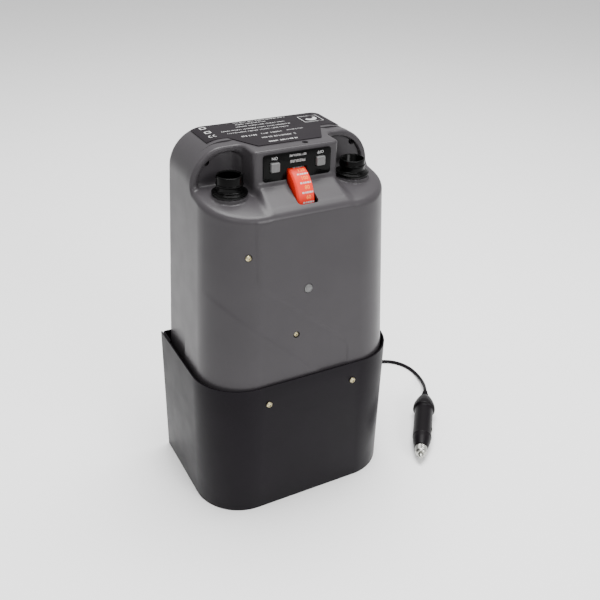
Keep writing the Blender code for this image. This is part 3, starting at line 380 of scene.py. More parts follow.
def surface(name, colour, roughness, metallic, grain, depth, mottle, shine):
    """A material with grain, slow colour variation and uneven gloss, all in the object's own space.

    grain is in bumps per metre, depth is the bump's height in millimetres, mottle is the share by
    which the colour varies and shine is the specular level.
    """
    smudge = 0.03
    material = flat_material(name, colour, roughness, metallic)
    tree = material.node_tree
    shader = tree.nodes["Principled BSDF"]
    shader.inputs["Specular IOR Level"].default_value = shine
    place = tree.nodes.new("ShaderNodeTexCoord")

    def noise(size, detail):
        node = tree.nodes.new("ShaderNodeTexNoise")
        node.inputs["Scale"].default_value = size
        node.inputs["Detail"].default_value = detail
        tree.links.new(place.outputs["Object"], node.inputs["Vector"])
        return node.outputs["Fac"]

    def between(source, low, high):
        node = tree.nodes.new("ShaderNodeMapRange")
        node.interpolation_type = "SMOOTHERSTEP"
        node.inputs["From Min"].default_value = 0.2
        node.inputs["From Max"].default_value = 0.8
        node.inputs["To Min"].default_value = low
        node.inputs["To Max"].default_value = high
        tree.links.new(source, node.inputs["Value"])
        return node.outputs["Result"]

    mix = tree.nodes.new("ShaderNodeMix")
    mix.data_type = "RGBA"
    mix.inputs["A"].default_value = (*(c * (1 - mottle) for c in colour), 1)
    mix.inputs["B"].default_value = (*(min(1, c * (1 + mottle)) for c in colour), 1)
    tree.links.new(between(noise(24, 4), 0, 1), mix.inputs["Factor"])
    tree.links.new(mix.outputs["Result"], shader.inputs["Base Color"])
    gloss = between(noise(46, 5), max(0.02, roughness - smudge), roughness + smudge)
    tree.links.new(gloss, shader.inputs["Roughness"])
    bump = tree.nodes.new("ShaderNodeBump")
    bump.inputs["Strength"].default_value = 1.0
    bump.inputs["Distance"].default_value = depth * MM
    tree.links.new(noise(grain, 3), bump.inputs["Height"])
    tree.links.new(bump.outputs["Normal"], shader.inputs["Normal"])
    return material


# Name, colour, roughness, metallic, grain, depth, mottle and shine
FINISHES = {name: surface(name, *look) for name, *look in (
    ("case_grey", (0.036, 0.033, 0.036), 0.34, 0, 700, 0.012, 0.05, 0.2),
    ("powder_black", (0.004, 0.0028, 0.0045), 0.4, 0, 420, 0.03, 0.15, 0.09),
    ("gloss_black", (0.001, 0.001, 0.001), 0.2, 0, 300, 0.008, 0.1, 0.08),
    ("label_dark", (0.008, 0.006, 0.008), 0.5, 0, 1500, 0.01, 0.1, 0.1),
    ("print_white", (0.42, 0.42, 0.42), 0.5, 0, 1500, 0.005, 0.05, 0.5),
    ("button_grey", (0.10, 0.10, 0.10), 0.4, 0, 1200, 0.02, 0.06, 0.5),
    ("dial_red", (0.68, 0.026, 0.012), 0.42, 0, 500, 0.012, 0.06, 0.15),
    ("print_orange", (0.95, 0.27, 0.03), 0.4, 0, 1500, 0.005, 0.05, 0.5),
    ("rubber", (0.012, 0.012, 0.012), 0.55, 0, 1500, 0.03, 0.15, 0.5),
    ("cord_black", (0.003, 0.002, 0.003), 0.5, 0, 1800, 0.02, 0.15, 0.1),
    ("plug_black", (0.003, 0.002, 0.003), 0.45, 0, 900, 0.02, 0.1, 0.12),
    ("brass", (0.46, 0.41, 0.25), 0.34, 1, 1400, 0.01, 0.12, 0.5),
    ("steel", (0.42, 0.42, 0.39), 0.28, 1, 1400, 0.01, 0.1, 0.5),
    ("battery_case", (0.03, 0.03, 0.035), 0.5, 0, 900, 0.02, 0.1, 0.5),
    ("board_green", (0.02, 0.12, 0.05), 0.4, 0, 600, 0.02, 0.06, 0.5),
    ("cast_alloy", (0.42, 0.42, 0.43), 0.45, 1, 500, 0.05, 0.06, 0.5),
    ("nylon_white", (0.66, 0.65, 0.6), 0.45, 0, 900, 0.02, 0.06, 0.5),
    ("lead_red", (0.5, 0.02, 0.02), 0.4, 0, 900, 0.02, 0.06, 0.5),
)}


def dress_cad_nodes():
    """Gives every CAD node the finish of its own material slot."""
    for part in frame["record"]["subparts"]:
        node = frame["nodes"][part["node"]]
        node.data.materials.clear()
        node.data.materials.append(FINISHES[part["material_slot"]])


# ---------------------------------------------------------------- distance fields, in millimetres

def both(a, b, radius=0.0):
    """The space inside both fields, with a rounded edge."""
    if not radius:
        return np.maximum(a, b)
    edge = np.hypot(np.maximum(radius + a, 0), np.maximum(radius + b, 0))
    return np.minimum(np.maximum(a, b), -radius) + edge


def either(a, b, radius=0.0):
    """The space inside one field or the other, with a fillet where they meet."""
    return -both(-a, -b, radius)


def soft_both(a, b, width):
    """The space inside both fields, for surfaces that meet at a flat angle."""
    return np.maximum(a, b) + np.maximum(width - np.abs(a - b), 0) ** 2 / (4 * width)


def soft_either(a, b, width):
    return -soft_both(-a, -b, width)


def arch(x, z, base, draft, top, shoulder):
    """The case seen from the front: drafted sides, round shoulders and a flat top."""
    half = base - draft * (z - SLEEVE_TOP)
    across, up = np.abs(x) - (half - shoulder), z - (top - shoulder)
    outside = np.hypot(np.maximum(across, 0), np.maximum(up, 0))
    return outside + np.minimum(np.maximum(across, up), 0) - shoulder


def step_down(distance, width=1.0):
    """Goes from 1 inside to 0 outside over a width."""
    t = np.clip(0.5 - distance / width, 0, 1)
    return t * t * (3 - 2 * t)


def front_relief(x, y, z):
    """Depth of the shallow slanting channel on the front face."""
    (x1, z1, slope1), (x2, z2, slope2) = CHANNEL_UPPER, CHANNEL_LOWER
    first = (z1 + slope1 * (x - x1) - z) / math.hypot(1, slope1)
    panel = either(both(CHANNEL_LEFT - x, first, 5), CHANNEL_RIGHT - x, 7)
    second = (z - z2 - slope2 * (x - x2)) / math.hypot(1, slope2)
    channel = (1 - step_down(panel)) * (1 - step_down(second, 3))
    fade = np.clip((-25 - y) / 20, 0, 1) * np.clip((304 - z) / 8, 0, 1)
    return RELIEF * channel * fade


def front_outside(x, y, z):
    """The front cover's outer form, open-ended towards the rear."""
    half = np.minimum(FRONT_HALF - FRONT_DRAFT * (z - SLEEVE_TOP), WIDEST_FRONT)
    face = np.maximum(FACE_Y + FACE_DRAFT * (z - SLEEVE_TOP), FACE_Y)
    across, ahead = np.abs(x) - (half - FACE_CORNER), face + FACE_CORNER - y
    plan = np.hypot(np.maximum(across, 0), np.maximum(ahead, 0))
    plan = plan + np.minimum(np.maximum(across, ahead), 0) - FACE_CORNER
    plan = both(plan + front_relief(x, y, z), CASE_BOTTOM - z)
    seat = (z - SEAT_Z - SEAT_SLOPE * y) / math.hypot(1, SEAT_SLOPE)
    facet = z - FACET_Z - FACET_RISE * (y - FACET_Y) + FACET_SLOPE * plan
    facet = facet / math.hypot(1, FACET_SLOPE + FACET_RISE)
    pad = (z - PAD_Z - PAD_SLOPE * (y - CONSOLE_Y)) / math.hypot(1, PAD_SLOPE)
    body = both(plan, soft_both(seat, facet, 3.0), SEAT_EDGE)
    for side in (-1, 1):
        round_seat = np.hypot(x - side * PORT_X, y - PORT_Y) - PORT_SEAT
        port_seat = both(both(round_seat, z - PORT_SEAT_Z, 0.6), both(PORT_SEAT_FROM - z, plan))
        body = either(body, port_seat, 1.0)
    raised = both(both(plan, pad, PAD_EDGE), np.abs(x) - PAD_HALF - 0.06 * (CONSOLE_Y - y), 4.0)
    body = soft_either(body, raised, 5.0)
    outline = arch(x, z, FRONT_HALF, FRONT_DRAFT, CASE_TOP, SHOULDER)
    band = both(outline, RIM_Y - y, 2.5)
    recess = both(outline + RIM_WIDTH, y - RECESS_Y)
    band = both(band, -recess, 1.2)
    console = both(np.abs(x) - CONSOLE_HALF, CONSOLE_Y - y, CONSOLE_EDGE)
    upper = both(either(band, console, 9.0), z - CASE_TOP, 2.2)
    return both(either(body, both(upper, UPPER_FROM - z), 4.0), plan)


def rear_outside(x, y, z):
    outline = both(arch(x, z, REAR_HALF, REAR_DRAFT, CASE_TOP + 0.3, SHOULDER), CASE_BOTTOM - z)
    return both(outline, y - CASE_REAR, REAR_EDGE)


PORT_X, PORT_Y = middle("deflate_port").x, middle("deflate_port").y
CASE_BOTTOM = span("front_cover")[0].z
CASE_REAR = span("rear_shell")[1].y
PARTING = (span("front_cover")[1].y, span("rear_shell")[0].y)


def net_surface(name, field, axes):
    """A mesh of the surface where field(x, y, z) is zero, over a grid of coordinates."""
    grid = np.meshgrid(*axes, indexing="ij")
    value = field(*grid)
    cells = tuple(n - 1 for n in value.shape)
    total, count = np.zeros((*cells, 3)), np.zeros(cells)
    for axis in range(3):
        u, v = (axis + 1) % 3, (axis + 2) % 3
        for i in (0, 1):
            for j in (0, 1):
                near = [slice(0, n) for n in cells]
                near[u] = slice(i, cells[u] + i)
                near[v] = slice(j, cells[v] + j)
                far = list(near)
                far[axis] = slice(1, cells[axis] + 1)
                a, b = value[tuple(near)], value[tuple(far)]
                crossed = (a < 0) != (b < 0)
                t = np.where(crossed, a / np.where(crossed, a - b, 1), 0)
                for k in range(3):
                    start = grid[k][tuple(near)]
                    total[..., k] += np.where(crossed, start + t * (grid[k][tuple(far)] - start), 0)
                count += crossed
    active = count > 0
    index = np.cumsum(active).reshape(active.shape) - 1
    points = total[active] / count[active][:, None]
    for _ in range(4):
        slope = np.stack(
            [field(*(points + e).T) - field(*(points - e).T) for e in np.eye(3) * 0.02], axis=1
        ) / 0.04
        length = np.maximum((slope ** 2).sum(axis=1), 0.1)
        points -= slope * np.clip(field(*points.T) / length, -1, 1)[:, None]
    quads = []
    for axis in range(3):
        u, v = (axis + 1) % 3, (axis + 2) % 3
        near = [slice(1, -1)] * 3
        near[axis] = slice(0, -1)
        far = list(near)
        far[axis] = slice(1, None)
        a, b = value[tuple(near)] < 0, value[tuple(far)] < 0
        for inside in (True, False):
            at = np.argwhere((a != b) & (a == inside))
            at[:, u] += 1
            at[:, v] += 1
            ring = []
            for du, dv in ((1, 1), (0, 1), (0, 0), (1, 0)):
                cell = at.copy()
                cell[:, u] -= du
                cell[:, v] -= dv
                ring.append(index[tuple(cell.T)])
            quads.append(np.stack(ring if inside else ring[::-1], axis=1))
    mesh = bpy.data.meshes.new(name)
    mesh.from_pydata((points * MM).tolist(), [], np.concatenate(quads).tolist())
    return mesh


def welded(mesh):
    """Merges the points that crowd together along the sharp edges of a net."""
    bm = bmesh.new()
    bm.from_mesh(mesh)
    bmesh.ops.remove_doubles(bm, verts=bm.verts, dist=0.3 * MM)
    bm.to_mesh(mesh)
    bm.free()
    return shade(mesh, 50)


def ticks(*stops):
    """Grid coordinates through (start, step) stops, ending at the last start."""
    runs = [np.arange(a, b, step) for (a, step), (b, _) in zip(stops, stops[1:])]
    return np.concatenate([*runs, [stops[-1][0]]])


# ---------------------------------------------------------------- case

def moulding(name, form, hollow, axes, parting, side):
    """A shell: its outer form less its hollow, cut off square at the parting plane."""
    shell = new_object(name, welded(net_surface(name, form, axes)), FINISHES["case_grey"])
    cut(shell, net_surface("hollow", hollow, axes))
    tool = bmesh.new()
    add_box(tool, (250, 40, 300), (0, parting + side * (20 - SEAM), 230))
    cut(shell, to_mesh(tool))
    return shell


def face_y(z):
    return FACE_Y + FACE_DRAFT * (z - SLEEVE_TOP)


def front_cover():
    screws = [middle(n) for n in ("front_screw_upper", "front_screw_lower")]
    corners = [middle(n) for n in ("corner_screw_left", "corner_screw_right")]
    bosses = [(p.x, p.z, face_y(p.z)) for p in screws] + [(p.x, p.z, RECESS_Y) for p in corners]

    def form(x, y, z):
        return both(front_outside(x, y, z), y - PARTING[0] - SPARE)

    def hollow(x, y, z):
        space = both(front_outside(x, y, z) + WALL, y - PARTING[0] - 2 * SPARE)
        for bx, bz, start in bosses:
            boss = both(np.hypot(x - bx, z - bz) - BOSS_RADIUS, y - start - BOSS_LENGTH)
            space = both(space, -boss)
        return space

    fine, coarse = ((1.4, 2.4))
    axes = (
        ticks((-99, fine), (99, fine)),
        ticks((-66, fine), (PARTING[0] + 3 * SPARE, fine)),
        ticks((CASE_BOTTOM - 3, coarse), (284, fine), (351, fine)),
    )
    cover = moulding("front_cover_moulding", form, hollow, axes, PARTING[0], 1)
    cut_front_cover(cover, bosses)
    place_piece(cover, "pump", "case_grey", "front_cover")


def cut_front_cover(cover, bosses):
    tool = bmesh.new()
    for x, z, start in bosses:
        stepped = [(0, 3), (3.2, 3), (3.2, -3.4), (1.9, -3.4), (1.9, -12), (0, -12)]
        add_lathe(tool, stepped, facing_front(x, start, z), 32)
    cap = middle("screw_cap")
    add_drum(tool, 4.3, -5, 5, facing_front(cap.x, face_y(cap.z), cap.z))
    for side in (-1, 1):
        add_drum(tool, PORT_HOLE, 290, 325, Matrix.Translation((side * PORT_X, PORT_Y, 0)), 64)
    for name in ("sleeve_screw_front_left", "sleeve_screw_front_right"):
        at = middle(name)
        add_drum(tool, 1.9, -10, 10, facing_front(at.x, -60, at.z), 24)
    x, y, radius = CONSOLE_HOLE
    add_drum(tool, radius, 335, 355, Matrix.Translation((x, y, 0)), 32)
    cut(cover, to_mesh(tool))
    cut_controls(cover)
    tool = bmesh.new()
    dial = middle("pressure_dial")
    reach = dial.y - SLOT_FRONT
    plan = rounded_rect((SLOT[1] - SLOT[0]) / 2, reach / 2, 3.0)
    place = Matrix.Translation((sum(SLOT) / 2, dial.y - reach / 2, 0))
    add_prism(tool, plan, dial.z - 10, dial.z + 12, place)
    cut(cover, to_mesh(tool))


def cut_controls(obj):
    """Cuts the dial's slot and the two button holes."""
    tool = bmesh.new()
    for name in ("on_button", "off_button"):
        at = middle(name)
        add_box(tool, (BUTTON_HOLE, 14, BUTTON_HOLE), (at.x, CONSOLE_Y, at.z), bevel=0.8)
    add_drum(tool, SLOT_RADIUS, *SLOT, axis_matrix((1, 0, 0), middle("pressure_dial")), 128)
    cut(obj, to_mesh(tool))


def rear_shell():
    posts = [middle(n) for n in ("corner_screw_left", "corner_screw_right")]

    def form(x, y, z):
        return both(rear_outside(x, y, z), PARTING[1] - SPARE - y)

    def hollow(x, y, z):
        space = both(rear_outside(x, y, z) + WALL, PARTING[1] - 2 * SPARE - y)
        for post in posts:
            space = both(space, POST_RADIUS - np.hypot(x - post.x, z - post.z), 1.5)
        return space

    step = 2.0
    axes = (
        ticks((-99, step), (99, step)),
        ticks((PARTING[1] - 3 * SPARE, step), (65, step)),
        ticks((CASE_BOTTOM - 3, step), (351, step)),
    )
    shell = moulding("rear_shell_moulding", form, hollow, axes, PARTING[1], -1)
    tool = bmesh.new()
    ends = ((LOUVRE_HALF, -90), (-LOUVRE_HALF, 90))
    outline = [p for x, start in ends for p in arc(x, 0, LOUVRE_RADIUS, start, start + 180, 6)]
    for row in range(LOUVRES):
        add_prism(tool, outline, -6, 6, facing_front(0, CASE_REAR, LOUVRE_Z + LOUVRE_PITCH * row))
    cut(shell, to_mesh(tool))
    place_piece(shell, "pump", "case_grey", "rear_shell")


# ---------------------------------------------------------------- sleeve

def add_sheet(name, node, path, holes):
    """An upright sheet along a plan path, with (x, y, z, radius) holes."""
    section = rounded_rect(SHEET / 2, SLEEVE_TOP / 2, 0.4, 3)
    section = [(x + SHEET / 2, z + SLEEVE_TOP / 2) for x, z in section]
    bm = bmesh.new()
    add_sweep(bm, path, section)
    obj = new_object(name, to_mesh(bm), FINISHES["powder_black"])
    tool = bmesh.new()
    for x, y, z, radius in holes:
        add_drum(tool, radius, -5, 5, facing_front(x, y, z), 32)
    cut(obj, to_mesh(tool))
    place_piece(obj, "pump", "powder_black", node)


def sleeve():
    half, front, radius = SLEEVE_HALF, SLEEVE_FRONT, SLEEVE_CORNER
    path = [
        (-half, SLEEVE_REAR),
        *arc(-half + radius, front + radius, radius, 180, 270, 24),
        *arc(half - radius, front + radius, radius, 270, 360, 24),
        (half, SLEEVE_REAR),
    ]
    screws = [middle(n) for n in ("sleeve_screw_front_left", "sleeve_screw_front_right")]
    holes = [(at.x, front, at.z, SCREW_HOLE) for at in screws]
    add_sheet("sleeve_sheet", "battery_sleeve", path, holes)


def rear_panel():
    half, rear = PANEL_HALF, SLEEVE_REAR
    path = [
        (half, rear - TAB),
        *arc(half - BEND, rear - BEND, BEND, 0, 90, 6),
        *arc(-half + BEND, rear - BEND, BEND, 90, 180, 6),
        (-half, rear - TAB),
    ]
    screws = [middle(n) for n in ("sleeve_screw_rear_left", "sleeve_screw_rear_right")]
    holes = [(at.x, rear, at.z, SCREW_HOLE) for at in screws]
    holes.append((GLAND_PLACE[0], rear, GLAND_PLACE[1], GLAND_HOLE))
    add_sheet("rear_sheet", "rear_panel", path, holes)


# ---------------------------------------------------------------- screws and cap

SCREWS = {
    "front_screw_upper": ("brass", -1), "front_screw_lower": ("brass", -1),
    "corner_screw_left": ("powder_black", -1), "corner_screw_right": ("powder_black", -1),
    "sleeve_screw_front_left": ("brass", -1), "sleeve_screw_front_right": ("brass", -1),
    "sleeve_screw_rear_left": ("brass", 1), "sleeve_screw_rear_right": ("brass", 1),
}


def screw(name):
    """A cross-recess pan-head screw with a ringed shank, its head towards -Y or +Y."""
    slot, facing = SCREWS[name]
    low, high = span(name)
    radius, length = (high.x - low.x) / 2, high.y - low.y
    head = rounded([(0, 0), (radius * 0.6, -0.15), (radius, -1.3), (radius, -2.2)], 0.5, 3)
    shank = [(1.5, -2.2)]
    for ring in range(int(length - 4)):
        shank += [(1.5, -2.8 - ring), (1.2, -3.3 - ring)]
    place = ((low.x + high.x) / 2, low.y if facing < 0 else high.y, (low.z + high.z) / 2)
    matrix = axis_matrix((0, facing, 0), place)
    bm = bmesh.new()
    add_lathe(bm, [*head, *shank, (0, -length)], matrix, 32)
    obj = new_object(f"{name}_fine", to_mesh(bm, angle=30), FINISHES[slot])
    arm, half = radius * 0.58, 0.38
    cross = []
    for quarter in range(4):
        c, s = ((1, 0), (0, 1), (-1, 0), (0, -1))[quarter]
        corners = ((arm, -half), (arm, half), (half, half))
        cross += [(x * c - y * s, x * s + y * c) for x, y in corners]
    tool = bmesh.new()
    add_prism(tool, cross, -1.4, 1, matrix @ Matrix.Rotation(math.radians(20), 4, "Z"))
    cut(obj, to_mesh(tool))
    place_piece(obj, "pump", slot, name)


def screw_cap():
    """The pale plug over the middle screw, with a raised rim and a slightly domed face."""
    low, high = span("screw_cap")
    radius = (high.x - low.x) / 2
    profile = [
        (0, 0.05), (radius - 1.3, -0.1), (radius - 1.0, -0.35), (radius - 0.8, -0.05),
        (radius - 0.2, -0.15), (radius, -0.5), (radius, -4.4), (0, -4.4),
    ]
    bm = bmesh.new()
    add_lathe(bm, profile, facing_front((low.x + high.x) / 2, low.y, (low.z + high.z) / 2), 48)
    obj = new_object("screw_cap_fine", to_mesh(bm, angle=50), FINISHES["button_grey"])
    place_piece(obj, "pump", "button_grey", "screw_cap")


# ---------------------------------------------------------------- ports

def port(name):
    """A hose socket: flange, collar with a bead, a stepped bore and bayonet notches in the rim."""
    low, high = span(name)
    base, top = FLANGE_Z, high.z
    outer, bore, spigot = PORT_OUTER, PORT_BORE, 10.4
    bead = base + 8.2
    outside = [
        (bore + 0.7, top), (outer, top - 0.1), (outer, bead + 1.0), (outer + 0.45, bead + 0.5),
        (outer + 0.45, bead - 0.5), (outer, bead - 1.0), (outer - 0.3, base + 3.6),
        (outer + 1.0, base + 2.8), (FLANGE - 1.6, base + 2.5), (FLANGE - 1.3, base + 2.0),
        (FLANGE, base + 1.7), (FLANGE, base),
    ]
    inside = [
        (spigot, base), (spigot, low.z), (bore - 1, low.z), (bore - 1, base + 3.5), (bore, base + 4.5),
        (bore, top - 0.8), (bore + 0.7, top),
    ]
    place = Matrix.Translation(((low.x + high.x) / 2, (low.y + high.y) / 2, 0))
    bm = bmesh.new()
    add_lathe(bm, [*rounded(outside, 0.5, 3), *inside[:-1]], place, 96)
    obj = new_object(f"{name}_fine", to_mesh(bm, angle=50), FINISHES["gloss_black"])
    for angle in PORT_NOTCHES[name]:
        tool = bmesh.new()
        turn = place @ Matrix.Rotation(math.radians(angle), 4, "Z")
        add_box(tool, (5, 3.6, 7), (outer - 1, 0, top), turn, bevel=0.6)
        cut(obj, to_mesh(tool))
    place_piece(obj, "pump", "gloss_black", name)


# ---------------------------------------------------------------- print

def add_lettering(bm, words, size, matrix):
    """Raised print centred on a place, with local Z out of the surface."""
    curve = bpy.data.curves.new("print", "FONT")
    curve.body = words
    curve.size = size
    curve.extrude = 0.03
    curve.resolution_u = 3
    curve.align_x, curve.align_y = "CENTER", "CENTER"
    obj = bpy.data.objects.new("print", curve)
    bpy.context.scene.collection.objects.link(obj)
    graph = bpy.context.evaluated_depsgraph_get()
    mesh = bpy.data.meshes.new_from_object(obj.evaluated_get(graph))
    first = len(bm.verts)
    bm.from_mesh(mesh)
    bm.verts.ensure_lookup_table()
    bmesh.ops.transform(bm, matrix=matrix, verts=bm.verts[first:])
    bpy.data.objects.remove(obj)
    bpy.data.curves.remove(curve)


def add_print_line(bm, chance, start, end, y, height, place, weight):
    """A line of abstract marks in place of small text, along local X from start to end."""
    x = start
    while x < end - height:
        for _ in range(chance.randint(3, 9)):
            if x > end - height * 0.5:
                break
            width = height * chance.uniform(0.45, 0.62)
            add_mark(bm, chance, x, y, width, height, weight, place)
            x += width + height * 0.22
        x += height * 0.5


def add_mark(bm, chance, x, y, width, height, weight, place):
    """One upright stroke with one or two bars, or two strokes joined by a bar."""
    strokes = [(0, 0, weight, height)]
    if chance.random() < 0.5:
        strokes.append((width - weight, 0, weight, height))
    for level in chance.sample((0, 0.5, 1), 2):
        strokes.append((weight, level * (height - weight), width - 2 * weight, weight))
    for left, low, across, up in strokes:
        corners = [(left, low), (left + across, low), (left + across, low + up), (left, low + up)]
        bm.faces.new([bm.verts.new(place(x + a, y + b)) for a, b in corners])


def control_panel():
    """The gloss panel with the dial's slot, the button holes and its print."""
    low, high = span("control_panel")
    centre = (low + high) / 2
    thick = high.y - low.y
    bm = bmesh.new()
    outline = rounded_rect((high.x - low.x) / 2, (high.z - low.z) / 2, 2.5, 8)
    faces = add_prism(bm, outline, 0, thick, facing_front(centre.x, high.y, centre.z))
    bmesh.ops.bevel(bm, geom=faces[1].edges[:], offset=0.2, segments=2, affect="EDGES", profile=0.5)
    obj = new_object("control_panel_fine", to_mesh(bm, angle=30), FINISHES["gloss_black"])
    cut_controls(obj)
    place_piece(obj, "pump", "gloss_black", "control_panel")
    bm = bmesh.new()
    face = low.y - 0.02
    on, off, dial = middle("on_button"), middle("off_button"), middle("pressure_dial")
    for words, size, x, z in (
        ("ON", 3.6, on.x, 339.6), ("OFF", 3.6, off.x, 339.6),
        ("SET PRESSURE", 2.6, dial.x, 340.0), ("PRESSURE", 3.3, dial.x, 335.0),
    ):
        upside_down = Matrix.Rotation(math.pi, 4, "Z")
        add_lettering(bm, words, size, facing_front(x, face, z) @ upside_down)
    words = new_object("control_panel_print", to_mesh(bm), FINISHES["print_white"])
    place_piece(words, "pump", None)


def top_label():
    """The dark foil label over the case's top, with abstract print."""
    low, high = span("top_label")
    tongue_tip, tongue_root, step = (30, low.y), (45, 17.5), 17.5
    flat = REAR_HALF - REAR_DRAFT * (CASE_TOP + 0.3 - SHOULDER - SLEEVE_TOP) - SHOULDER

    def height(x):
        over = max(0.0, abs(x) - flat)
        return CASE_TOP + 0.4 - SHOULDER + math.sqrt(SHOULDER ** 2 - over ** 2)

    def front_edge(x):
        t = (abs(x) - tongue_tip[0]) / (tongue_root[0] - tongue_tip[0])
        return tongue_tip[1] + min(1, max(0, t)) * (step - tongue_tip[1])

    stops = sorted({*np.linspace(low.x, high.x, 65).tolist(), -45, -30, 30, 45})
    bm = bmesh.new()
    rings = []
    for x in stops:
        ring = []
        front, rear = front_edge(x), high.y
        for y, lift in ((front, 0), (front + 0.15, 0.3), (rear - 0.15, 0.3), (rear, 0)):
            ring.append(bm.verts.new((x, y, height(x) + lift)))
        rings.append(ring)
    for a, b in zip(rings, rings[1:]):
        for i in range(4):
            j = (i + 1) % 4
            bm.faces.new((a[i], b[i], b[j], a[j]))
    bm.faces.new(rings[0])
    bm.faces.new(rings[-1][::-1])
    label = new_object("top_label_foil", to_mesh(bm, angle=30), FINISHES["label_dark"])
    place_piece(label, "pump", "label_dark", "top_label")

    def on_label(x, y):
        return Vector((x, y, height(x) + 0.34))

    bm = bmesh.new()
    chance = random.Random(7)
    for start, end, y, size, weight in (
        (-17, 12, -6.8, 2.4, 0.6), (-18, 15.5, 4.2, 2.8, 0.34), (-33, -18, 13.4, 2.6, 0.55),
        (-14, 8, 14.4, 2.6, 0.34), (11, 27, 15.6, 1.8, 0.28), (-41, 18, 25.4, 1.9, 0.28),
        (-44, 24, 32, 1.9, 0.28), (-27, 23, 39.2, 1.8, 0.28), (-25, 6, 45.6, 1.7, 0.28),
        (-25, 27, 50.6, 1.7, 0.28),
    ):
        add_print_line(bm, chance, start, end, y, size, on_label, weight)
    for y in (37, 49):
        outer, inner = rounded_rect(2.8, 2.8, 1.2), rounded_rect(1.8, 1.8, 0.8)
        add_outline(bm, outer, inner, lambda x, z: on_label(x - 55, z + y))
    for x in (-57, -53):
        outer, inner = arc(0, 0, 2.6, 90, 270, 12), arc(0, 0, 1.8, 90, 270, 12)
        add_outline(bm, outer, inner, lambda a, b, x=x: on_label(a + x + 1, b + 26), closed=False)
    outer, inner = rounded_rect(9.6, 8.6, 1.0), rounded_rect(9.0, 8.0, 0.8)
    add_outline(bm, outer, inner, lambda x, z: on_label(x + 46, z + 38))
    outer, inner = arc(0, 0, 6.2, 200, 380, 18), arc(0, 1.6, 3.4, 200, 380, 18)
    add_outline(bm, outer, inner, lambda x, z: on_label(x + 46, z + 39), closed=False)
    words = new_object("top_label_print", to_mesh(bm), FINISHES["print_white"])
    place_piece(words, "pump", None)


def add_outline(bm, outer, inner, place, closed=True):
    """A flat band between two outlines with the same number of points."""
    a = [bm.verts.new(place(*p)) for p in outer]
    b = [bm.verts.new(place(*p)) for p in inner]
    for i in range(len(a) if closed else len(a) - 1):
        j = (i + 1) % len(a)
        bm.faces.new((a[i], a[j], b[j], b[i]))


# ---------------------------------------------------------------- buttons and dial

def button(name, body):
    """A square push button with round corners, a stepped skirt and a dished face."""
    low, high = span(name)
    half = (high.x - low.x) / 2

    def square(angle, height):
        return (abs(math.cos(angle)) ** 9 + abs(math.sin(angle)) ** 9) ** (-1 / 9)

    depth = high.y - low.y
    profile = [
        (0, -0.25), (half - 1.2, -0.15), (half - 0.9, 0), (half - 0.45, -0.06), (half - 0.12, -0.35),
        (half - 0.02, -0.9), (half, -3.6), (half, -depth), (0, -depth),
    ]
    bm = bmesh.new()
    matrix = facing_front((low.x + high.x) / 2, low.y, (low.z + high.z) / 2)
    add_lathe(bm, profile, matrix, 96, square)
    obj = new_object(f"{name}_cap", to_mesh(bm, angle=50), FINISHES["button_grey"])
    place_piece(obj, body, "button_grey", name)


def pressure_dial():
    """The thumbwheel, with rows of numbers and dashes round its rim."""
    radius, rim = DIAL_RADIUS, DIAL_RIM
    side = rim + 1.2
    profile = rounded([
        (2.4, -side), (6.5, -side), (6.9, -side + 0.6), (radius - 9.5, -side + 0.6), (radius - 9, -side),
        (radius - 1.6, -side + 0.1), (radius, -side + 1.7), (radius, rim - 0.7), (radius - 0.7, rim),
        (radius - 9, side), (radius - 9.5, side - 0.6), (6.9, side - 0.6), (6.5, side), (2.4, side),
    ], 0.35, 2)
    place = middle("pressure_dial")
    bm = bmesh.new()
    add_lathe(bm, profile, axis_matrix((1, 0, 0), place), 144)
    obj = new_object("pressure_dial_wheel", to_mesh(bm), FINISHES["dial_red"])
    place_piece(obj, "dial", "dial_red", "pressure_dial")

    def wrap(bm):
        """Bends flat print in local x and y onto the rim, with y along the rim."""
        for vert in bm.verts:
            angle, out = vert.co.y / radius, radius + 0.03 + vert.co.z
            vert.co = place + Vector((vert.co.x, -out * math.cos(angle), out * math.sin(angle)))

    pitch = math.radians(DIAL_PITCH) * radius
    lowest, step = DIAL_NUMBERS
    numbers, dashes = bmesh.new(), bmesh.new()
    for row in range(DIAL_ROWS):
        level = (row + DIAL_FIRST) * pitch
        number_place = Matrix.Translation((1.9, level + pitch / 2, 0))
        add_lettering(numbers, str(lowest + step * row), 4.6, number_place)
        for x, width in ((-2.6, 2.0), (-0.2, 1.2), (1.6, 1.6), (4.0, 2.2), (6.1, 0.9)):
            dash = rounded_rect(width / 2, 0.75, 0.25, 2)
            add_prism(dashes, dash, 0, 0.03, Matrix.Translation((x, level, 0)))
    prints = (("numbers", numbers, "print_orange"), ("dashes", dashes, "print_white"))
    for name, print_bm, finish in prints:
        wrap(print_bm)
        piece = new_object(f"pressure_dial_{name}", to_mesh(print_bm), FINISHES[finish])
        place_piece(piece, "dial", None)


# ---------------------------------------------------------------- lead and plug

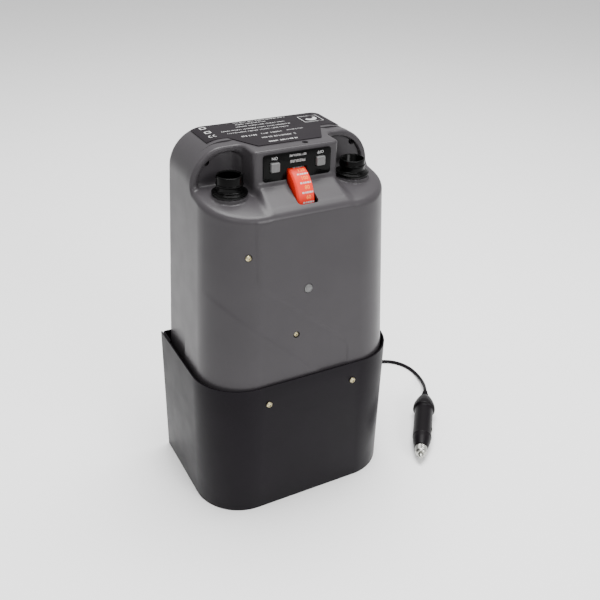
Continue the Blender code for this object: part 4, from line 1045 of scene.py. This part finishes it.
def coil_points():
    """The coil's turns: in, up, and out again, with each turn's step in its last sixth."""
    levels = (CORD_RADIUS, 3 * CORD_RADIUS, 5 * CORD_RADIUS)
    outer, mid, inner = TURN_RADII
    turns = [
        (outer, levels[0]), (mid, levels[0]), (inner, levels[0]),
        (inner, levels[1]), (mid, levels[1]), (outer, levels[1]), (outer, levels[2]),
    ]
    points = []
    steps = 36
    for i in range(int(6.5 * steps) + 1):
        turn, share = divmod(i / steps, 1)
        here, after = turns[int(turn)], turns[min(int(turn) + 1, len(turns) - 1)]
        t = max(0.0, (share - 5 / 6) * 6)
        ease = t * t * (3 - 2 * t)
        radius = here[0] + (after[0] - here[0]) * ease
        if here[0] == after[0] and here[1] != after[1]:
            away = 1 if here[0] == outer else -1
            radius += away * 1.7 * math.sin(math.pi * ease)
        angle = math.radians(90) + 2 * math.pi * i / steps
        height = here[1] + (after[1] - here[1]) * ease + 0.05
        points.append((
            COIL_CENTRE[0] + radius * math.cos(angle), COIL_CENTRE[1] + radius * math.sin(angle), height,
        ))
    return points


def smooth_route(points, steps):
    """A smooth curve through the points, with a number of steps between each two."""
    knots = [Vector(p) for p in points]
    knots = [knots[0] * 2 - knots[1], *knots, knots[-1] * 2 - knots[-2]]
    route = []
    for a, b, c, d in zip(knots, knots[1:], knots[2:], knots[3:]):
        for step in range(steps):
            t = step / steps
            square, cube = 2 * a - 5 * b + 4 * c - d, 3 * b - a - 3 * c + d
            route.append(0.5 * (2 * b + (c - a) * t + square * t * t + cube * t ** 3))
    route.append(knots[-2])
    return route


def lead():
    """The thin lead from the gland through its coil to the plug."""
    gland_end = (60, 88, 28)
    inside_plug = [PLUG_TAIL + PLUG_AXIS * reach for reach in (2, 14, 26, 38)]
    route = smooth_route([gland_end, *CORD_TO_COIL], 6)
    route += smooth_route(coil_points(), 2)
    route += smooth_route([*CORD_TO_PLUG, *inside_plug], 6)
    curve = bpy.data.curves.new("lead", "CURVE")
    curve.dimensions = "3D"
    curve.bevel_depth = CORD_RADIUS * MM
    curve.bevel_resolution = 4
    curve.use_fill_caps = True
    curve.materials.append(FINISHES["cord_black"])
    spline = curve.splines.new("POLY")
    spline.points.add(len(route) - 1)
    for point, place in zip(spline.points, route):
        point.co = (*(place * MM), 1)
    spline.use_smooth = True
    cord = bpy.data.objects.new("lead", curve)
    bpy.context.scene.collection.objects.link(cord)
    place_piece(cord, "pump", "rubber", "cord_to_coil", "cord_coil", "cord_to_plug")
    pieces = [gland(), coil_tie(), *plug()]


def gland():
    """The ribbed strain relief in the rear panel."""
    low, high = span("cord_gland")
    wall = high.y - SLEEVE_REAR
    profile = [(2.1, 0.5), (2.7, 0)]
    rings = 6
    for ring in range(rings):
        at, grow = 1.5 + ring * 3.4, 1.2 * ring / rings
        profile += [(2.8 + grow, at), (2.8 + grow, at + 1.8)]
        profile += [(2.3 + grow, at + 2.2), (2.3 + grow, at + 3.1)]
    inside = wall + SHEET
    profile += [
        (4.2, wall - 2.6), (6.1, wall - 2.4), (6.5, wall - 1.9), (6.5, wall - 0.3), (4.4, wall - 0.3),
        (4.4, inside + 0.3), (5.4, inside + 0.3), (5.4, inside + 2), (2.1, inside + 2),
    ]
    bm = bmesh.new()
    place = ((low.x + high.x) / 2, high.y, (low.z + high.z) / 2)
    add_lathe(bm, profile, axis_matrix((0, -1, 0), place), 48)
    obj = new_object("cord_gland_ribbed", to_mesh(bm, angle=35), FINISHES["rubber"])
    return place_piece(obj, "pump", "rubber", "cord_gland")


def coil_tie():
    """A strap round the coil's turns, with its folded end on top."""
    inner, outer = TURN_RADII[-1] - CORD_RADIUS, TURN_RADII[0] + CORD_RADIUS
    half = (outer - inner) / 2 + 0.7
    loop = [(x + (inner + outer) / 2, z + 4.35) for x, z in rounded_rect(half, 4.3, 2.2, 6)]
    section = [(0, -2.2), (0.5, -2.2), (0.5, 2.2), (0, 2.2)]
    place = Matrix.Translation((*COIL_CENTRE, 0)) @ Matrix.Rotation(math.radians(90), 4, "X")
    bm = bmesh.new()
    add_sweep(bm, loop, section, closed=True, matrix=place)
    add_box(bm, (5.2, 3.4, 1.6), (COIL_CENTRE[0] + (inner + outer) / 2, COIL_CENTRE[1], 8.9), bevel=0.4)
    obj = new_object("coil_tie", to_mesh(bm), FINISHES["rubber"])
    return place_piece(obj, "pump", "rubber")


def plug():
    """A 12 V accessory plug: ribbed collar, barrel, side contact, knurled cap and sprung pin."""
    place = axis_matrix(-PLUG_AXIS, PLUG_TAIL)
    bm = bmesh.new()
    tail = [(0, -1.5), (2.1, -1.5), (2.1, -0.2), (2.7, -0.4)]
    for rib in range(3):
        at, grow = -1.6 - 2.6 * rib, 0.55 * rib
        tail += [(2.9 + grow, at), (2.9 + grow, at - 1.3)]
        tail += [(2.5 + grow, at - 1.6), (2.5 + grow, at - 2.3)]
    body = rounded([
        (4.2, -10), (6.5, -13), (9.6, -20), (11.8, -27), (12.4, -31), (12.4, -34), (10.5, -35.4),
        (10.2, -36.5), (10.2, -78), (10.35, -80.5), (10.0, -81), (9.9, -81.6), (9.5, -86),
        (7.3, -96.4), (6.9, -97),
    ], 1.2, 3)

    def ribs(angle, height):
        on_collar = max(0.0, 1 - abs(height + 28.5) / 5.5)
        return 1 - 0.014 * min(1, on_collar * 3) * (0.5 + 0.5 * math.cos(30 * angle))

    add_lathe(bm, [*tail, *body, (3, -97), (3, -90), (0, -90)], place, 180, ribs)
    body = new_object("plug_body_fine", to_mesh(bm, angle=45), FINISHES["plug_black"])
    contact = place.inverted() @ middle("plug_spring")
    turned = place @ Matrix.Rotation(math.atan2(contact.y, contact.x), 4, "Z")
    tool = bmesh.new()
    add_box(tool, (6, 5.2, 17), (11.4, 0, -69), turned, bevel=0.5)
    cut(body, to_mesh(tool))
    strip = [(9.0 + 1.9 * math.sin(math.pi * t / 12), -77 + 16 * t / 12) for t in range(13)]
    outline = [*strip, *[(x - 0.5, z) for x, z in strip[::-1]]]
    bm = bmesh.new()
    edgewise = turned @ Matrix.Rotation(math.radians(90), 4, "X")
    add_prism(bm, outline, -1.9, 1.9, edgewise)
    spring = new_object("plug_side_contact", to_mesh(bm, angle=30), FINISHES["steel"])

    def knurl(angle, height):
        if not -104.5 < height < -97.8:
            return 1
        return 1 + 0.02 * math.cos(24 * angle + height * 2.4) * math.cos(24 * angle - height * 2.4)

    cap = [(6.5, -97.3), (6.6, -97.8), *[(6.6 - 0.02 * i, -98 - 0.27 * i) for i in range(25)]]
    cap += [(6.0, -105), (5.2, -106.4), (4.4, -107), (2.9, -107), (2.9, -97.3)]
    bm = bmesh.new()
    add_lathe(bm, cap, place, 192, knurl)
    cap = new_object("plug_cap_knurled", to_mesh(bm, angle=30), FINISHES["steel"])
    bm = bmesh.new()
    pin = [(0, -93.4), (2.5, -93.4), (2.5, -109.6), (2.3, -110.6), (1.7, -111.6), (0.9, -112.2)]
    pin.append((0, -112.4))
    add_lathe(bm, pin, place, 48)
    pin = new_object("plug_pin_fine", to_mesh(bm, angle=40), FINISHES["steel"])
    place_piece(body, "pump", "gloss_black", "plug_body")
    place_piece(spring, "pump", "steel", "plug_spring")
    place_piece(cap, "pump", "steel", "plug_cap")
    place_piece(pin, "plug_contact", "brass", "plug_pin")
    return [body, spring, cap, pin]


# ---------------------------------------------------------------- run

add_camera()
add_studio()
dress_cad_nodes()
lead()
front_cover()
rear_shell()
sleeve()
rear_panel()
for screw_name in SCREWS:
    screw(screw_name)
screw_cap()
port("inflate_port")
port("deflate_port")
control_panel()
button("on_button", "on_key")
button("off_button", "off_key")
pressure_dial()
top_label()
